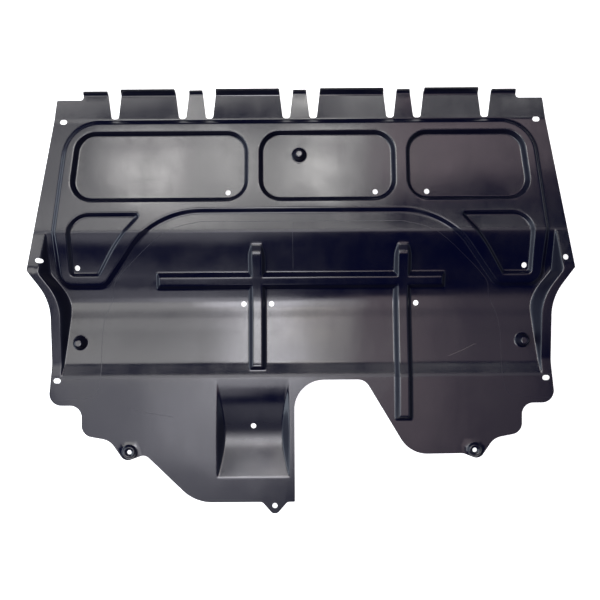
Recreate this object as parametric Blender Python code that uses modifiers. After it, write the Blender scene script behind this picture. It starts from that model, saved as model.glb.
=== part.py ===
"""Engine splash shield, vacuum formed from one sheet of black thermoplastic.

The shield lies on its road side, with the engine side up. X runs across the car, Y runs forward
and Z runs up. The origin is under the middle of the part, on the surface that it rests on.

The form is drawn the way the tool for it would be drawn. Each edge and fold of the form is a line
in plan, a height is worked out for every point of those lines, and the sheet hangs on them. Sizes
are in metres.
"""

import math

import bmesh
import bpy
import numpy as np
from mathutils import Vector
from mathutils.geometry import delaunay_2d_cdt
from mathutils.kdtree import KDTree

SHEET = 0.003                  # thickness of the sheet
ARC_SAG = 0.00025              # how far the steps of a rounded corner may cut inside it
LONG_STEP = 0.036              # longest straight step along any line of the form
RAMP_STEP = 0.018              # and on the curved ramp
POINT_CLEARANCE = 0.008        # loose points keep this far from the lines
SAME_PLACE = 0.0003            # points nearer than this are one point

# Lengths along the car, from the tabs at the front to the ears at the rear.
LIP_REACH = 0.0028             # how far the back of an upturned lip stands in front of its tab
FLANGE_LENGTH = 0.0505         # tab edge to the fold in front of the raised frame
FRONT_PANEL_LENGTH = 0.1976
RAMP_LENGTH = 0.1266
BACK_PANEL_LENGTH = 0.101
BAND_LENGTH = 0.024
REAR_LENGTH = 0.242            # band to the tip of the rear ear

# Heights of the folds above each other.
FRONT_PANEL_RISE = 0.029
RAMP_FOOT_SLOPE = 0.2          # rise of the ramp for each unit of length where it starts
BACK_PANEL_RISE = 0.013
BAND_RISE = 0.0055

# Tabs along the front edge, each from the middle of one notch to the middle of the next.
CENTRE_TAB_HALF_WIDTH = 0.0237
INNER_TAB_WIDTH = 0.1357
NARROW_TAB_WIDTH = 0.0475
MIDDLE_TAB_WIDTH = 0.1191
OUTER_TAB_WIDTH = 0.0554
OUTER_TAB_SETBACK = 0.0015
SHOULDER_WIDTH = 0.0469        # outer tab to the front corner
SHOULDER_DEPTH = 0.0163        # tab edge back to the front corner
NOTCH_DEPTH = 0.0472
NOTCH_MOUTH = 0.024
NOTCH_ROOT = 0.0125
SHOULDER_RADIUS = 0.009
WIDE_LIP_HEIGHT = 0.012
WIDE_LIP_RUN = 0.005
SMALL_LIP_HEIGHT = 0.006
SMALL_LIP_RUN = 0.003
NARROW_TAB_DROP = 0.003

# Trimmed sides. Each half width is given by how far it stands out from, or in from, the last.
SIDE_FLARE = 0.0439            # front corner out to the tip ahead of the wheel
TIP_BEHIND_CREASE = 0.0666
ARCH_DEPTH = 0.0382            # tip in to the middle of the wheel arch
ARCH_BEHIND_TIP = 0.052
ARCH_RADIUS = 0.148
WAIST_FLARE = 0.002            # out again behind the wheel
REAR_FLARE = 0.0075            # and on to the rear corner

# Trimmed shape of the rear, measured back from the band and in from the rear corner.
CORNER_BACK = 0.051
CORNER_RADIUS = 0.021
STEP_WIDTH = 0.0585
STEP_LENGTH = 0.052
STEP_RADIUS = 0.02
NECK_WIDTH = 0.049
NECK_LENGTH = 0.009
EAR_FROM_NECK = 0.0345         # neck in to the centre of the rear screw
EAR_BEHIND_NECK = 0.0205
EAR_EDGE_BACK = 0.0175         # apex of the ear behind its screw
TAIL_EAR_LENGTH = 0.0205       # tip of the rear ear behind the left lobe
RIGHT_LOBE_BEHIND_EAR = 0.007
LEFT_LOBE_FROM_EAR = 0.114     # where the slanted edge of the left lobe ends
CUTOUT_LEFT_X = -0.013
CUTOUT_WIDTH = 0.124
CUTOUT_LEAN = 0.078            # how far the right side of the cut-out leans out
TAIL_EAR_FROM_CUTOUT = 0.035
TAIL_EAR_HALF_WIDTH = 0.022
CUTOUT_BACK = 0.0085
CUTOUT_LEFT_RADIUS = 0.052
CUTOUT_RIGHT_RADIUS = 0.023

# Raised frame around the pockets, with a leg down each side of the ramp.
FRAME_HEIGHT = 0.006
FRAME_FRONT_RUN = 0.0052
FRAME_REAR_RUN = 0.0068
FRAME_FRONT_INSET = 0.0178     # in from the front corner of the outline
FRAME_FOOT_INSET = 0.0095      # in from the middle of the wheel arch
FRAME_SIDE_BOW = 0.0101        # how far its side bows out at the crease
FRAME_FRONT_RADIUS = 0.065
FRAME_CREASE_RADIUS = 0.06
LEG_WIDTH = 0.082
LEG_BELOW_CREASE = 0.098
LEG_RADIUS = 0.026
LEG_SLANT = 0.0955             # foot of a leg in to where the bridge starts
BRIDGE_ABOVE_CREASE = 0.0322
BRIDGE_RADIUS = 0.150
BORDER = 0.0213                # width of the frame around each pocket

# Pockets in the frame.
POCKET_DEPTH = 0.0129
POCKET_RUN = 0.004
POCKET_RADIUS = 0.036
BAR_CENTRES = (-0.0813, 0.1764)
CORNER_POCKET_DEPTH = 0.008
CORNER_POCKET_RUN = 0.005
CORNER_POCKET_RADIUS = 0.038
CORNER_POCKET_TIP_RADIUS = 0.0055
CORNER_POCKET_FOOT_RADIUS = 0.008
CORNER_POCKET_BOW = 0.0065     # how far its slanted side bows out
CORNER_POCKET_SIDE_RADIUS = 0.4

# Side lips and the walls that drop from them to the floor.
FRONT_LIP_WIDTH = 0.0215
REAR_LIP_WIDTH = 0.0178
WALL_DRAFT = 0.36              # run of a side wall for each unit of its height

# Stiffening ribs in the trough.
RIB_HEIGHT = 0.011
RIB_TOP_WIDTH = 0.0175
RIB_SIDE_RUN = 0.0055
RIB_START_BEHIND_CREASE = 0.0216
RIB_START_RUN = 0.0204         # over which a rib rises out of the ramp
LEFT_RIB_X = -0.0767
RIGHT_RIB_X = 0.1785
LEFT_RIB_END_BEHIND_DEEP = 0.115
RIGHT_RIB_END_BEHIND_DEEP = 0.2035
CROSS_RIB_FROM_LEG = 0.0895    # its end in from the inner side of the leg
CROSS_RIB_AHEAD_OF_DEEP = 0.0395
CROSS_RIB_TOP_WIDTH = 0.0143
CROSS_RIB_FRONT_RUN = 0.0086
CROSS_RIB_REAR_RUN = 0.0058

# Tunnel across the left rear lobe.
TUNNEL_X = -0.0854
TUNNEL_WIDTH = 0.1259
TUNNEL_BEHIND_BAND = 0.0025
TUNNEL_FALL_LENGTH = 0.106     # from its front edge back to its deepest line
TUNNEL_RISE_LENGTH = 0.070     # and from there to its rear edge
TUNNEL_WALL_RUN = 0.0125

# Closed bosses and screw bosses.
BOSS_BASE_RADIUS = 0.0112
BOSS_TOP_RADIUS = 0.0072
BOSS_HEIGHT = 0.020
POCKET_BOSS_X = -0.0014
POCKET_BOSS_BEHIND_RIM = 0.0415
SIDE_BOSS_INSET = 0.048        # in from the waist
SIDE_BOSS_BEHIND_DEEP = 0.0665
SCREW_BOSS_RADIUS = 0.0125
SCREW_BOSS_RING_RADIUS = 0.010
SCREW_BOSS_HEIGHT = 0.005
SCREW_DISH_RADIUS = 0.0075
SCREW_DISH_DEPTH = 0.003

# Holes.
SCREW_HOLE = 0.008
DRAIN_HOLE = 0.0095
SLOT_LENGTH = 0.013
SLOT_WIDTH = 0.009
FRONT_SLOT_INSET = 0.0165      # from the side edge
FRONT_SLOT_BEHIND_SHOULDER = 0.038
SIDE_SLOT_INSET = 0.0178
SIDE_HOLE_INSET = 0.0128
SIDE_HOLE_AHEAD_OF_TIP = 0.0174
REAR_SLOT_INSET = 0.0085       # in from the waist
REAR_SLOT_BEHIND_BAND = 0.0074
DRAIN_FROM_BAR = 0.0345
DRAIN_FROM_RIM = 0.015
LEG_DRAIN_FROM_RIM = 0.011
TUNNEL_DRAIN_BACK = 0.088      # from the front edge of the tunnel
DRAIN_FROM_RIB = 0.0245

# Lines across the car. The part is as long ahead of its origin as behind it.
LENGTH = (LIP_REACH + FLANGE_LENGTH + FRONT_PANEL_LENGTH + RAMP_LENGTH
          + BACK_PANEL_LENGTH + BAND_LENGTH + REAR_LENGTH)
TAB_Y = LENGTH / 2 - LIP_REACH
FOLD_Y = TAB_Y - FLANGE_LENGTH
CREASE_Y = FOLD_Y - FRONT_PANEL_LENGTH
DEEP_Y = CREASE_Y - RAMP_LENGTH
CREST_Y = DEEP_Y - BACK_PANEL_LENGTH
BAND_Y = CREST_Y - BAND_LENGTH
TAIL_Y = BAND_Y - REAR_LENGTH
LOBE_Y = TAIL_Y + TAIL_EAR_LENGTH
SHOULDER_Y = TAB_Y + LIP_REACH - SHOULDER_DEPTH
TIP_Y = CREASE_Y - TIP_BEHIND_CREASE
NOTCH_Y = TAB_Y - NOTCH_DEPTH
CROSS_RIB_Y = DEEP_Y + CROSS_RIB_AHEAD_OF_DEEP
RIB_START_Y = CREASE_Y - RIB_START_BEHIND_CREASE
LEG_Y = CREASE_Y - LEG_BELOW_CREASE
BRIDGE_Y = CREASE_Y + BRIDGE_ABOVE_CREASE

# Positions across the car, from the middle outward and then in again at the rear.
FIRST_NOTCH_X = CENTRE_TAB_HALF_WIDTH
SECOND_NOTCH_X = FIRST_NOTCH_X + INNER_TAB_WIDTH
THIRD_NOTCH_X = SECOND_NOTCH_X + NARROW_TAB_WIDTH
LAST_NOTCH_X = THIRD_NOTCH_X + MIDDLE_TAB_WIDTH
OUTER_TAB_EDGE = LAST_NOTCH_X + OUTER_TAB_WIDTH
FRONT_HALF_WIDTH = OUTER_TAB_EDGE + SHOULDER_WIDTH
TIP_HALF_WIDTH = FRONT_HALF_WIDTH + SIDE_FLARE
ARCH_HALF_WIDTH = TIP_HALF_WIDTH - ARCH_DEPTH
WAIST_HALF_WIDTH = ARCH_HALF_WIDTH + WAIST_FLARE
REAR_HALF_WIDTH = WAIST_HALF_WIDTH + REAR_FLARE
STEP_HALF_WIDTH = REAR_HALF_WIDTH - STEP_WIDTH
NECK_HALF_WIDTH = STEP_HALF_WIDTH - NECK_WIDTH
EAR_HALF_WIDTH = NECK_HALF_WIDTH - EAR_FROM_NECK
FRAME_FRONT_HALF_WIDTH = FRONT_HALF_WIDTH - FRAME_FRONT_INSET
FRAME_FOOT_HALF_WIDTH = ARCH_HALF_WIDTH - FRAME_FOOT_INSET
FRAME_CREASE_HALF_WIDTH = FRAME_SIDE_BOW + (
    FRAME_FOOT_HALF_WIDTH + (FRAME_FRONT_HALF_WIDTH - FRAME_FOOT_HALF_WIDTH)
    * LEG_BELOW_CREASE / (LEG_BELOW_CREASE + FRONT_PANEL_LENGTH))
LEG_INNER_HALF_WIDTH = FRAME_FOOT_HALF_WIDTH - LEG_WIDTH
BRIDGE_HALF_WIDTH = LEG_INNER_HALF_WIDTH - LEG_SLANT
CROSS_RIB_HALF_LENGTH = LEG_INNER_HALF_WIDTH - CROSS_RIB_FROM_LEG
SIDE_BOSS_HALF_WIDTH = WAIST_HALF_WIDTH - SIDE_BOSS_INSET
REAR_SLOT_HALF_WIDTH = WAIST_HALF_WIDTH - REAR_SLOT_INSET
TAIL_EAR_X = CUTOUT_LEFT_X - TAIL_EAR_FROM_CUTOUT
CORNER_Y = BAND_Y - CORNER_BACK
STEP_Y = CORNER_Y - STEP_LENGTH
NECK_Y = STEP_Y - NECK_LENGTH
EAR_Y = NECK_Y - EAR_BEHIND_NECK
RIGHT_LOBE_Y = EAR_Y - RIGHT_LOBE_BEHIND_EAR

# Heights of the upper face. The pockets, the deep fold and the tunnel all touch the floor.
PANEL_SLOPE = FRONT_PANEL_RISE / FRONT_PANEL_LENGTH
POCKET_FRONT_Y = FOLD_Y - BORDER
FOLD_Z = (SHEET * (1 + PANEL_SLOPE) + POCKET_DEPTH - FRAME_HEIGHT
          - PANEL_SLOPE * (FOLD_Y - POCKET_FRONT_Y + POCKET_RUN))
CREASE_Z = FOLD_Z + FRONT_PANEL_RISE
DEEP_Z = 1.015 * SHEET         # the back of a fold reaches a little lower than the sheet is thick
CREST_Z = DEEP_Z + BACK_PANEL_RISE
REAR_Z = CREST_Z + BAND_RISE
TIP_Z = CREASE_Z + PANEL_SLOPE * TIP_BEHIND_CREASE
TUNNEL_DEPTH = REAR_Z - 1.07 * SHEET
TUNNEL_FRONT_Y = BAND_Y - TUNNEL_BEHIND_BAND
TUNNEL_LENGTH = TUNNEL_FALL_LENGTH + TUNNEL_RISE_LENGTH


def unit(x, y):
    """The direction (x, y) with length 1."""
    size = math.hypot(x, y)
    return x / size, y / size


def mirrored(corners):
    """The same corners on the other side of the car, in the opposite order."""
    return [(-x, y, radius) for x, y, radius in reversed(corners)]


def moved_inward(corners, distances):
    """A closed outline with each edge moved inward by its own distance.

    Edge i runs from corner i to corner i + 1, with the inside on its left.
    """
    count = len(corners)
    lines = []
    for i in range(count):
        x0, y0, _ = corners[i]
        x1, y1, _ = corners[(i + 1) % count]
        ux, uy = unit(x1 - x0, y1 - y0)
        lines.append((x0 - uy * distances[i], y0 + ux * distances[i], ux, uy))
    result = []
    for i in range(count):
        ax, ay, aux, auy = lines[i - 1]
        bx, by, bux, buy = lines[i]
        turn = aux * buy - auy * bux
        along = ((bx - ax) * buy - (by - ay) * bux) / turn
        shift = (distances[i - 1] + distances[i]) / 2
        radius = corners[i][2]
        if radius > 0:
            radius = max(radius - math.copysign(shift, turn), 0.0)
        result.append((ax + aux * along, ay + auy * along, radius))
    return result


def rounded(corners):
    """Points of a closed outline of (x, y, radius) corners, with each corner made an arc."""
    points = []
    count = len(corners)
    for i in range(count):
        x, y, radius = corners[i]
        px, py, _ = corners[i - 1]
        nx, ny, _ = corners[(i + 1) % count]
        inx, iny = unit(x - px, y - py)
        outx, outy = unit(nx - x, ny - y)
        turn = math.atan2(inx * outy - iny * outx, inx * outx + iny * outy)
        half = abs(math.tan(turn / 2))
        shortest = min(math.hypot(x - px, y - py), math.hypot(nx - x, ny - y))
        radius = min(radius, 0.48 * shortest / max(half, 1e-6))
        if radius < 0.0005 or abs(turn) < 0.02:
            points.append((x, y))
            continue
        side = math.copysign(1.0, turn)
        cx = x - inx * radius * half - iny * radius * side
        cy = y - iny * radius * half + inx * radius * side
        start = math.atan2(y - iny * radius * half - cy, x - inx * radius * half - cx)
        step = min(2 * math.acos(1 - ARC_SAG / radius), math.pi / 9)
        steps = max(2, math.ceil(abs(turn) / step))
        for k in range(steps + 1):
            angle = start + turn * k / steps
            points.append((cx + radius * math.cos(angle), cy + radius * math.sin(angle)))
    return points


def circle(x, y, radius, steps=16):
    """Points of a circle."""
    angles = [2 * math.pi * (k + 0.5) / steps for k in range(steps)]
    return [(x + radius * math.cos(a), y + radius * math.sin(a)) for a in angles]


def slot(x, y, length, width, turned=0.0):
    """Points of a hole with round ends and its long side turned from the X direction."""
    reach = (length - width) / 2
    points = []
    for end in (0, 1):
        for k in range(7):
            angle = math.pi * (end - 0.5 + k / 6)
            ex = (reach if end == 0 else -reach) + math.cos(angle) * width / 2
            ey = math.sin(angle) * width / 2
            points.append((x + ex * math.cos(turned) - ey * math.sin(turned),
                           y + ex * math.sin(turned) + ey * math.cos(turned)))
    return points


def inside(px, py, loop):
    """Which of the points lie inside a closed loop."""
    result = np.zeros(len(px), dtype=bool)
    for (x0, y0), (x1, y1) in zip(loop, loop[1:] + loop[:1]):
        if y0 == y1:
            continue
        crosses = (y0 > py) != (y1 > py)
        result ^= crosses & (px < (x1 - x0) * (py - y0) / (y1 - y0) + x0)
    return result


def distance(px, py, loop):
    """Distance from each point to a closed loop."""
    best = np.full(len(px), np.inf)
    for (x0, y0), (x1, y1) in zip(loop, loop[1:] + loop[:1]):
        dx, dy = x1 - x0, y1 - y0
        along = ((px - x0) * dx + (py - y0) * dy) / max(dx * dx + dy * dy, 1e-18)
        along = np.clip(along, 0.0, 1.0)
        best = np.minimum(best, np.hypot(px - x0 - along * dx, py - y0 - along * dy))
    return best


def drafted(px, py, outer, inner):
    """0 outside the outer loop, 1 inside the inner loop, and a straight slope between them."""
    from_outer = distance(px, py, outer)
    from_inner = distance(px, py, inner)
    weight = from_outer / np.maximum(from_outer + from_inner, 1e-12)
    weight = np.where(inside(px, py, inner), 1.0, weight)
    weight = np.where(from_inner < 1e-7, 1.0, weight)
    beyond = ~inside(px, py, outer) & (from_inner >= 1e-7)
    return np.where(beyond | (from_outer < 1e-7), 0.0, weight)


def arch_corners():
    """Corners of the trimmed right side, from the tip back past the wheel arch."""
    return [(TIP_HALF_WIDTH, TIP_Y, 0.0),
            (ARCH_HALF_WIDTH, TIP_Y - ARCH_BEHIND_TIP, ARCH_RADIUS),
            (WAIST_HALF_WIDTH, CREST_Y - 0.004, 0.15),
            (REAR_HALF_WIDTH, CORNER_Y, CORNER_RADIUS)]


def outline_corners():
    """Corners of the trimmed edge, anticlockwise from the right tip."""
    front = [(TIP_HALF_WIDTH, TIP_Y, 0.0),
             (FRONT_HALF_WIDTH, SHOULDER_Y, 0.002),
             (OUTER_TAB_EDGE, SHOULDER_Y, SHOULDER_RADIUS),
             (OUTER_TAB_EDGE, TAB_Y - OUTER_TAB_SETBACK, 0.0015)]
    for centre in (LAST_NOTCH_X, THIRD_NOTCH_X, SECOND_NOTCH_X, FIRST_NOTCH_X):
        outer_y = TAB_Y - (OUTER_TAB_SETBACK if centre == LAST_NOTCH_X else 0.0)
        front += [(centre + NOTCH_MOUTH / 2, outer_y, 0.0015),
                  (centre + NOTCH_ROOT / 2, NOTCH_Y, 0.005),
                  (centre - NOTCH_ROOT / 2, NOTCH_Y, 0.005),
                  (centre - NOTCH_MOUTH / 2, TAB_Y, 0.0015)]
    front += mirrored(front)

    side = arch_corners()[1:]
    side += [(STEP_HALF_WIDTH, CORNER_Y, STEP_RADIUS),
             (STEP_HALF_WIDTH, STEP_Y, STEP_RADIUS),
             (NECK_HALF_WIDTH, NECK_Y, 0.03)]
    ear_x = EAR_HALF_WIDTH + 0.0085
    ear_y = EAR_Y - EAR_EDGE_BACK
    left = [(-x, y, radius) for x, y, radius in side]
    left += [(-ear_x, ear_y, 0.0145),
             (-EAR_HALF_WIDTH + 0.027, EAR_Y - 0.0045, 0.014),
             (-EAR_HALF_WIDTH + LEFT_LOBE_FROM_EAR, LOBE_Y, 0.074),
             (TAIL_EAR_X - TAIL_EAR_HALF_WIDTH, LOBE_Y, 0.008),
             (TAIL_EAR_X, TAIL_Y - 0.0047, 0.0094),
             (TAIL_EAR_X + TAIL_EAR_HALF_WIDTH, LOBE_Y, 0.008),
             (CUTOUT_LEFT_X, LOBE_Y, 0.0015)]
    cutout_right = CUTOUT_LEFT_X + CUTOUT_WIDTH
    cutout = [(CUTOUT_LEFT_X, BAND_Y - CUTOUT_BACK, CUTOUT_LEFT_RADIUS),
              (cutout_right, BAND_Y - CUTOUT_BACK, CUTOUT_RIGHT_RADIUS),
              (cutout_right + CUTOUT_LEAN, RIGHT_LOBE_Y, 0.053)]
    right = [(EAR_HALF_WIDTH - 0.0195, RIGHT_LOBE_Y + 0.001, 0.015),
             (ear_x, ear_y, 0.0145)]
    right += list(reversed(side))
    return front + left + cutout + right


def frame_corners():
    """Corners of the foot of the raised frame, anticlockwise from the right leg."""
    right = [(LEG_INNER_HALF_WIDTH, LEG_Y, LEG_RADIUS),
             (FRAME_FOOT_HALF_WIDTH, LEG_Y, LEG_RADIUS),
             (FRAME_CREASE_HALF_WIDTH, CREASE_Y, FRAME_CREASE_RADIUS),
             (FRAME_FRONT_HALF_WIDTH, FOLD_Y, FRAME_FRONT_RADIUS)]
    bridge = (BRIDGE_HALF_WIDTH, BRIDGE_Y, BRIDGE_RADIUS)
    return right + mirrored(right) + mirrored([bridge]) + [bridge]


def frame_loops():
    """Foot and top of the raised frame."""
    foot = frame_corners()
    front, rear = FRAME_FRONT_RUN, FRAME_REAR_RUN
    runs = [rear, front, front, front, front, front, rear, rear, rear, rear]
    return rounded(foot), rounded(moved_inward(foot, runs))


def side_line(inset):
    """The slanted side of the frame moved inward: X as a straight line of Y."""
    slope = (FRAME_FRONT_HALF_WIDTH - FRAME_CREASE_HALF_WIDTH) / (FOLD_Y - CREASE_Y)
    return slope, FRAME_CREASE_HALF_WIDTH - inset * math.hypot(1.0, slope)


def pocket_loops():
    """Rim and floor of the three pockets, from left to right."""
    slope, at_crease = side_line(BORDER)
    front_y = FOLD_Y - BORDER
    rear_y = BRIDGE_Y + BORDER
    front_x = at_crease + slope * (front_y - CREASE_Y)
    rear_x = at_crease + slope * (rear_y - CREASE_Y)
    half_bar = BORDER / 2
    sides = [(-rear_x, -front_x, BAR_CENTRES[0] - half_bar, BAR_CENTRES[0] - half_bar),
             (BAR_CENTRES[0] + half_bar, BAR_CENTRES[0] + half_bar,
              BAR_CENTRES[1] - half_bar, BAR_CENTRES[1] - half_bar),
             (BAR_CENTRES[1] + half_bar, BAR_CENTRES[1] + half_bar, front_x, rear_x)]
    loops = []
    for left_rear, left_front, right_front, right_rear in sides:
        rim = [(left_rear, rear_y, POCKET_RADIUS),
               (right_rear, rear_y, POCKET_RADIUS),
               (right_front, front_y, POCKET_RADIUS),
               (left_front, front_y, POCKET_RADIUS)]
        loops.append((rounded(rim), rounded(moved_inward(rim, [POCKET_RUN] * 4))))
    return loops


def corner_pocket_loops():
    """Rim and floor of the three-sided pocket in each leg of the frame."""
    border = [BORDER] * 10
    leg = moved_inward(frame_corners(), border)
    inner, outer, _, _ = leg[:4]
    bridge = leg[9]
    top_y = BRIDGE_Y
    slope, at_crease = side_line(BORDER)
    reach = (top_y - inner[1]) / (bridge[1] - inner[1])
    tip_x = inner[0] + (bridge[0] - inner[0]) * reach
    ux, uy = unit(tip_x - inner[0], top_y - inner[1])
    middle = ((inner[0] + tip_x) / 2 + uy * CORNER_POCKET_BOW,
              (inner[1] + top_y) / 2 - ux * CORNER_POCKET_BOW)
    rim = [(inner[0], inner[1], CORNER_POCKET_FOOT_RADIUS),
           (outer[0], outer[1], CORNER_POCKET_FOOT_RADIUS),
           (at_crease + slope * (top_y - CREASE_Y), top_y, CORNER_POCKET_RADIUS),
           (tip_x, top_y, CORNER_POCKET_TIP_RADIUS),
           (middle[0], middle[1], CORNER_POCKET_SIDE_RADIUS)]
    loops = []
    for corners in (rim, mirrored(rim)):
        runs = [CORNER_POCKET_RUN] * 5
        loops.append((rounded(corners), rounded(moved_inward(corners, runs))))
    return loops


def rib_loops():
    """Foot and top of the two lengthwise ribs and the cross rib."""
    half_top = RIB_TOP_WIDTH / 2
    half_foot = half_top + RIB_SIDE_RUN
    full_y = RIB_START_Y - RIB_START_RUN
    loops = []
    for x, behind in ((LEFT_RIB_X, LEFT_RIB_END_BEHIND_DEEP),
                      (RIGHT_RIB_X, RIGHT_RIB_END_BEHIND_DEEP)):
        end_y = DEEP_Y - behind
        foot = [(x - half_foot, end_y), (x + half_foot, end_y), (x + half_foot, full_y),
                (x + half_top, RIB_START_Y), (x - half_top, RIB_START_Y),
                (x - half_foot, full_y)]
        top = [(x - half_top, end_y + RIB_SIDE_RUN), (x + half_top, end_y + RIB_SIDE_RUN),
               (x + half_top, RIB_START_Y), (x - half_top, RIB_START_Y)]
        loops.append((foot, top))
    end = CROSS_RIB_HALF_LENGTH
    front = CROSS_RIB_TOP_WIDTH / 2
    foot = [(-end, CROSS_RIB_Y - front - CROSS_RIB_REAR_RUN),
            (end, CROSS_RIB_Y - front - CROSS_RIB_REAR_RUN),
            (end, CROSS_RIB_Y + front + CROSS_RIB_FRONT_RUN),
            (-end, CROSS_RIB_Y + front + CROSS_RIB_FRONT_RUN)]
    end -= RIB_SIDE_RUN
    top = [(-end, CROSS_RIB_Y - front), (end, CROSS_RIB_Y - front),
           (end, CROSS_RIB_Y + front), (-end, CROSS_RIB_Y + front)]
    loops.append((foot, top))
    return loops


def rib_mitres():
    """Fold lines where the walls of crossing ribs meet."""
    half_top = RIB_TOP_WIDTH / 2
    half_foot = half_top + RIB_SIDE_RUN
    front = CROSS_RIB_TOP_WIDTH / 2
    lines = []
    for x in (LEFT_RIB_X, RIGHT_RIB_X):
        for side in (-1, 1):
            for ahead, run in ((front, CROSS_RIB_FRONT_RUN), (-front, -CROSS_RIB_REAR_RUN)):
                lines.append([(x + side * half_top, CROSS_RIB_Y + ahead),
                              (x + side * half_foot, CROSS_RIB_Y + ahead + run)])
    return lines


def tunnel_depth(y):
    """Depth of the tunnel floor below the rear panel: it curves down, then rises more straightly."""
    back = np.clip(TUNNEL_FRONT_Y - y, 0.0, TUNNEL_LENGTH)
    fall = np.minimum(back / TUNNEL_FALL_LENGTH, 1.0)
    rise = np.maximum(back - TUNNEL_FALL_LENGTH, 0.0) / TUNNEL_RISE_LENGTH
    return TUNNEL_DEPTH * (fall * fall - 1.2 * rise + 0.2 * rise * rise)


def tunnel_wall_run(y):
    """Width of the side walls of the tunnel, which are widest near its deepest line."""
    back = np.clip((TUNNEL_FRONT_Y - y) / TUNNEL_LENGTH, 0.0, 1.0)
    return TUNNEL_WALL_RUN * np.sin(math.pi * back ** 1.4)


def tunnel_loops():
    """Rim of the tunnel, and the foot of its side walls, which meet the rim at both ends."""
    left = TUNNEL_X - TUNNEL_WIDTH / 2
    right = TUNNEL_X + TUNNEL_WIDTH / 2
    rear_y = TUNNEL_FRONT_Y - TUNNEL_LENGTH
    rim = [(left, rear_y), (right, rear_y), (right, TUNNEL_FRONT_Y), (left, TUNNEL_FRONT_Y)]
    deepest_y = rear_y + TUNNEL_RISE_LENGTH
    rows = [rear_y + TUNNEL_RISE_LENGTH * k / 4 for k in range(4)]
    rows += [deepest_y + TUNNEL_FALL_LENGTH * k / 7 for k in range(8)]
    runs = [float(tunnel_wall_run(y)) for y in rows]
    runs[0] = runs[-1] = 0.0
    foot = [(right - run, y) for run, y in zip(runs, rows)]
    foot += [(left + run, y) for run, y in reversed(list(zip(runs, rows)))]
    return rim, foot, rows


def boss_places():
    """Centres of the closed bosses."""
    rim_y = FOLD_Y - BORDER
    return [(POCKET_BOSS_X, rim_y - POCKET_BOSS_BEHIND_RIM),
            (-SIDE_BOSS_HALF_WIDTH, DEEP_Y - SIDE_BOSS_BEHIND_DEEP),
            (SIDE_BOSS_HALF_WIDTH, DEEP_Y - SIDE_BOSS_BEHIND_DEEP)]


def screw_places():
    """Centres of the screw bosses in the rear ears."""
    return [(-EAR_HALF_WIDTH, EAR_Y), (EAR_HALF_WIDTH, EAR_Y)]


def side_edge(y):
    """X of the straight side edge ahead of the tip."""
    along = (y - TIP_Y) / (SHOULDER_Y - TIP_Y)
    return TIP_HALF_WIDTH + (FRONT_HALF_WIDTH - TIP_HALF_WIDTH) * along


def hole_loops():
    """All holes through the sheet."""
    holes = []
    slot_y = SHOULDER_Y - FRONT_SLOT_BEHIND_SHOULDER
    side_y = TIP_Y + SIDE_HOLE_AHEAD_OF_TIP
    side_x = side_edge(side_y)
    rear_y = BAND_Y - REAR_SLOT_BEHIND_BAND
    for side in (-1, 1):
        slot_x = side * (side_edge(slot_y) - FRONT_SLOT_INSET)
        holes.append(slot(slot_x, slot_y, SLOT_LENGTH, SLOT_WIDTH))
        holes.append(slot(side * REAR_SLOT_HALF_WIDTH, rear_y, SLOT_LENGTH, SLOT_WIDTH))
    holes.append(slot(SIDE_SLOT_INSET - side_x, side_y, SLOT_LENGTH, SCREW_HOLE,
                      math.radians(-12.0)))
    holes.append(circle(side_x - SIDE_HOLE_INSET, side_y, DRAIN_HOLE / 2))
    for x, y in screw_places():
        holes.append(circle(x, y, SCREW_HOLE / 2))
    drain_y = BRIDGE_Y + BORDER + DRAIN_FROM_RIM
    from_bar = BORDER / 2 + DRAIN_FROM_BAR
    drains = [(BAR_CENTRES[0] - from_bar, drain_y), (BAR_CENTRES[1] - from_bar, drain_y),
              (BAR_CENTRES[1] + from_bar, drain_y),
              (LEFT_RIB_X - DRAIN_FROM_RIB, DEEP_Y), (LEFT_RIB_X + DRAIN_FROM_RIB, DEEP_Y),
              (RIGHT_RIB_X + DRAIN_FROM_RIB, DEEP_Y),
              (TUNNEL_X, TUNNEL_FRONT_Y - TUNNEL_DRAIN_BACK),
              (TAIL_EAR_X, TAIL_Y + 0.014)]
    leg_x = FRAME_FOOT_HALF_WIDTH - BORDER - LEG_DRAIN_FROM_RIM
    leg_y = LEG_Y + BORDER + DRAIN_FROM_RIM
    drains += [(-leg_x, leg_y), (leg_x, leg_y)]
    holes += [circle(x, y, DRAIN_HOLE / 2) for x, y in drains]
    return holes


def lip_edge(rows):
    """X of the inner edge of the side lip at each row of Y, from the crease to the band."""
    tip_side = [(TIP_HALF_WIDTH, TIP_Y, 0.0), (FRONT_HALF_WIDTH, SHOULDER_Y, 0.0)]
    (x0, y0, _), (x1, y1, _) = tip_side
    slope = (x1 - x0) / (y1 - y0)
    front = x0 + slope * (rows - y0) - FRONT_LIP_WIDTH
    middle = [(0.0, CORNER_Y, 0.0), (0.0, TIP_Y, 0.0)]
    edge = [p for p in rounded(arch_corners() + middle) if p[0] > 0.0]
    edge.sort(key=lambda p: p[1])
    rear = np.interp(rows, [p[1] for p in edge], [p[0] for p in edge]) - REAR_LIP_WIDTH
    return np.minimum(front, rear)


def panel_height(y):
    """Upper face of the panels down the middle of the car."""
    front = FOLD_Z + PANEL_SLOPE * (FOLD_Y - np.minimum(y, FOLD_Y))
    ramp = np.clip((y - DEEP_Y) / RAMP_LENGTH, 0.0, 1.0)
    straight = RAMP_FOOT_SLOPE * RAMP_LENGTH
    ramp = DEEP_Z + straight * ramp + (CREASE_Z - DEEP_Z - straight) * ramp * ramp
    rear = np.interp(y, [BAND_Y, CREST_Y, DEEP_Y], [REAR_Z, CREST_Z, DEEP_Z])
    return np.where(y >= CREASE_Y, front, np.where(y >= DEEP_Y, ramp, rear))


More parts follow.
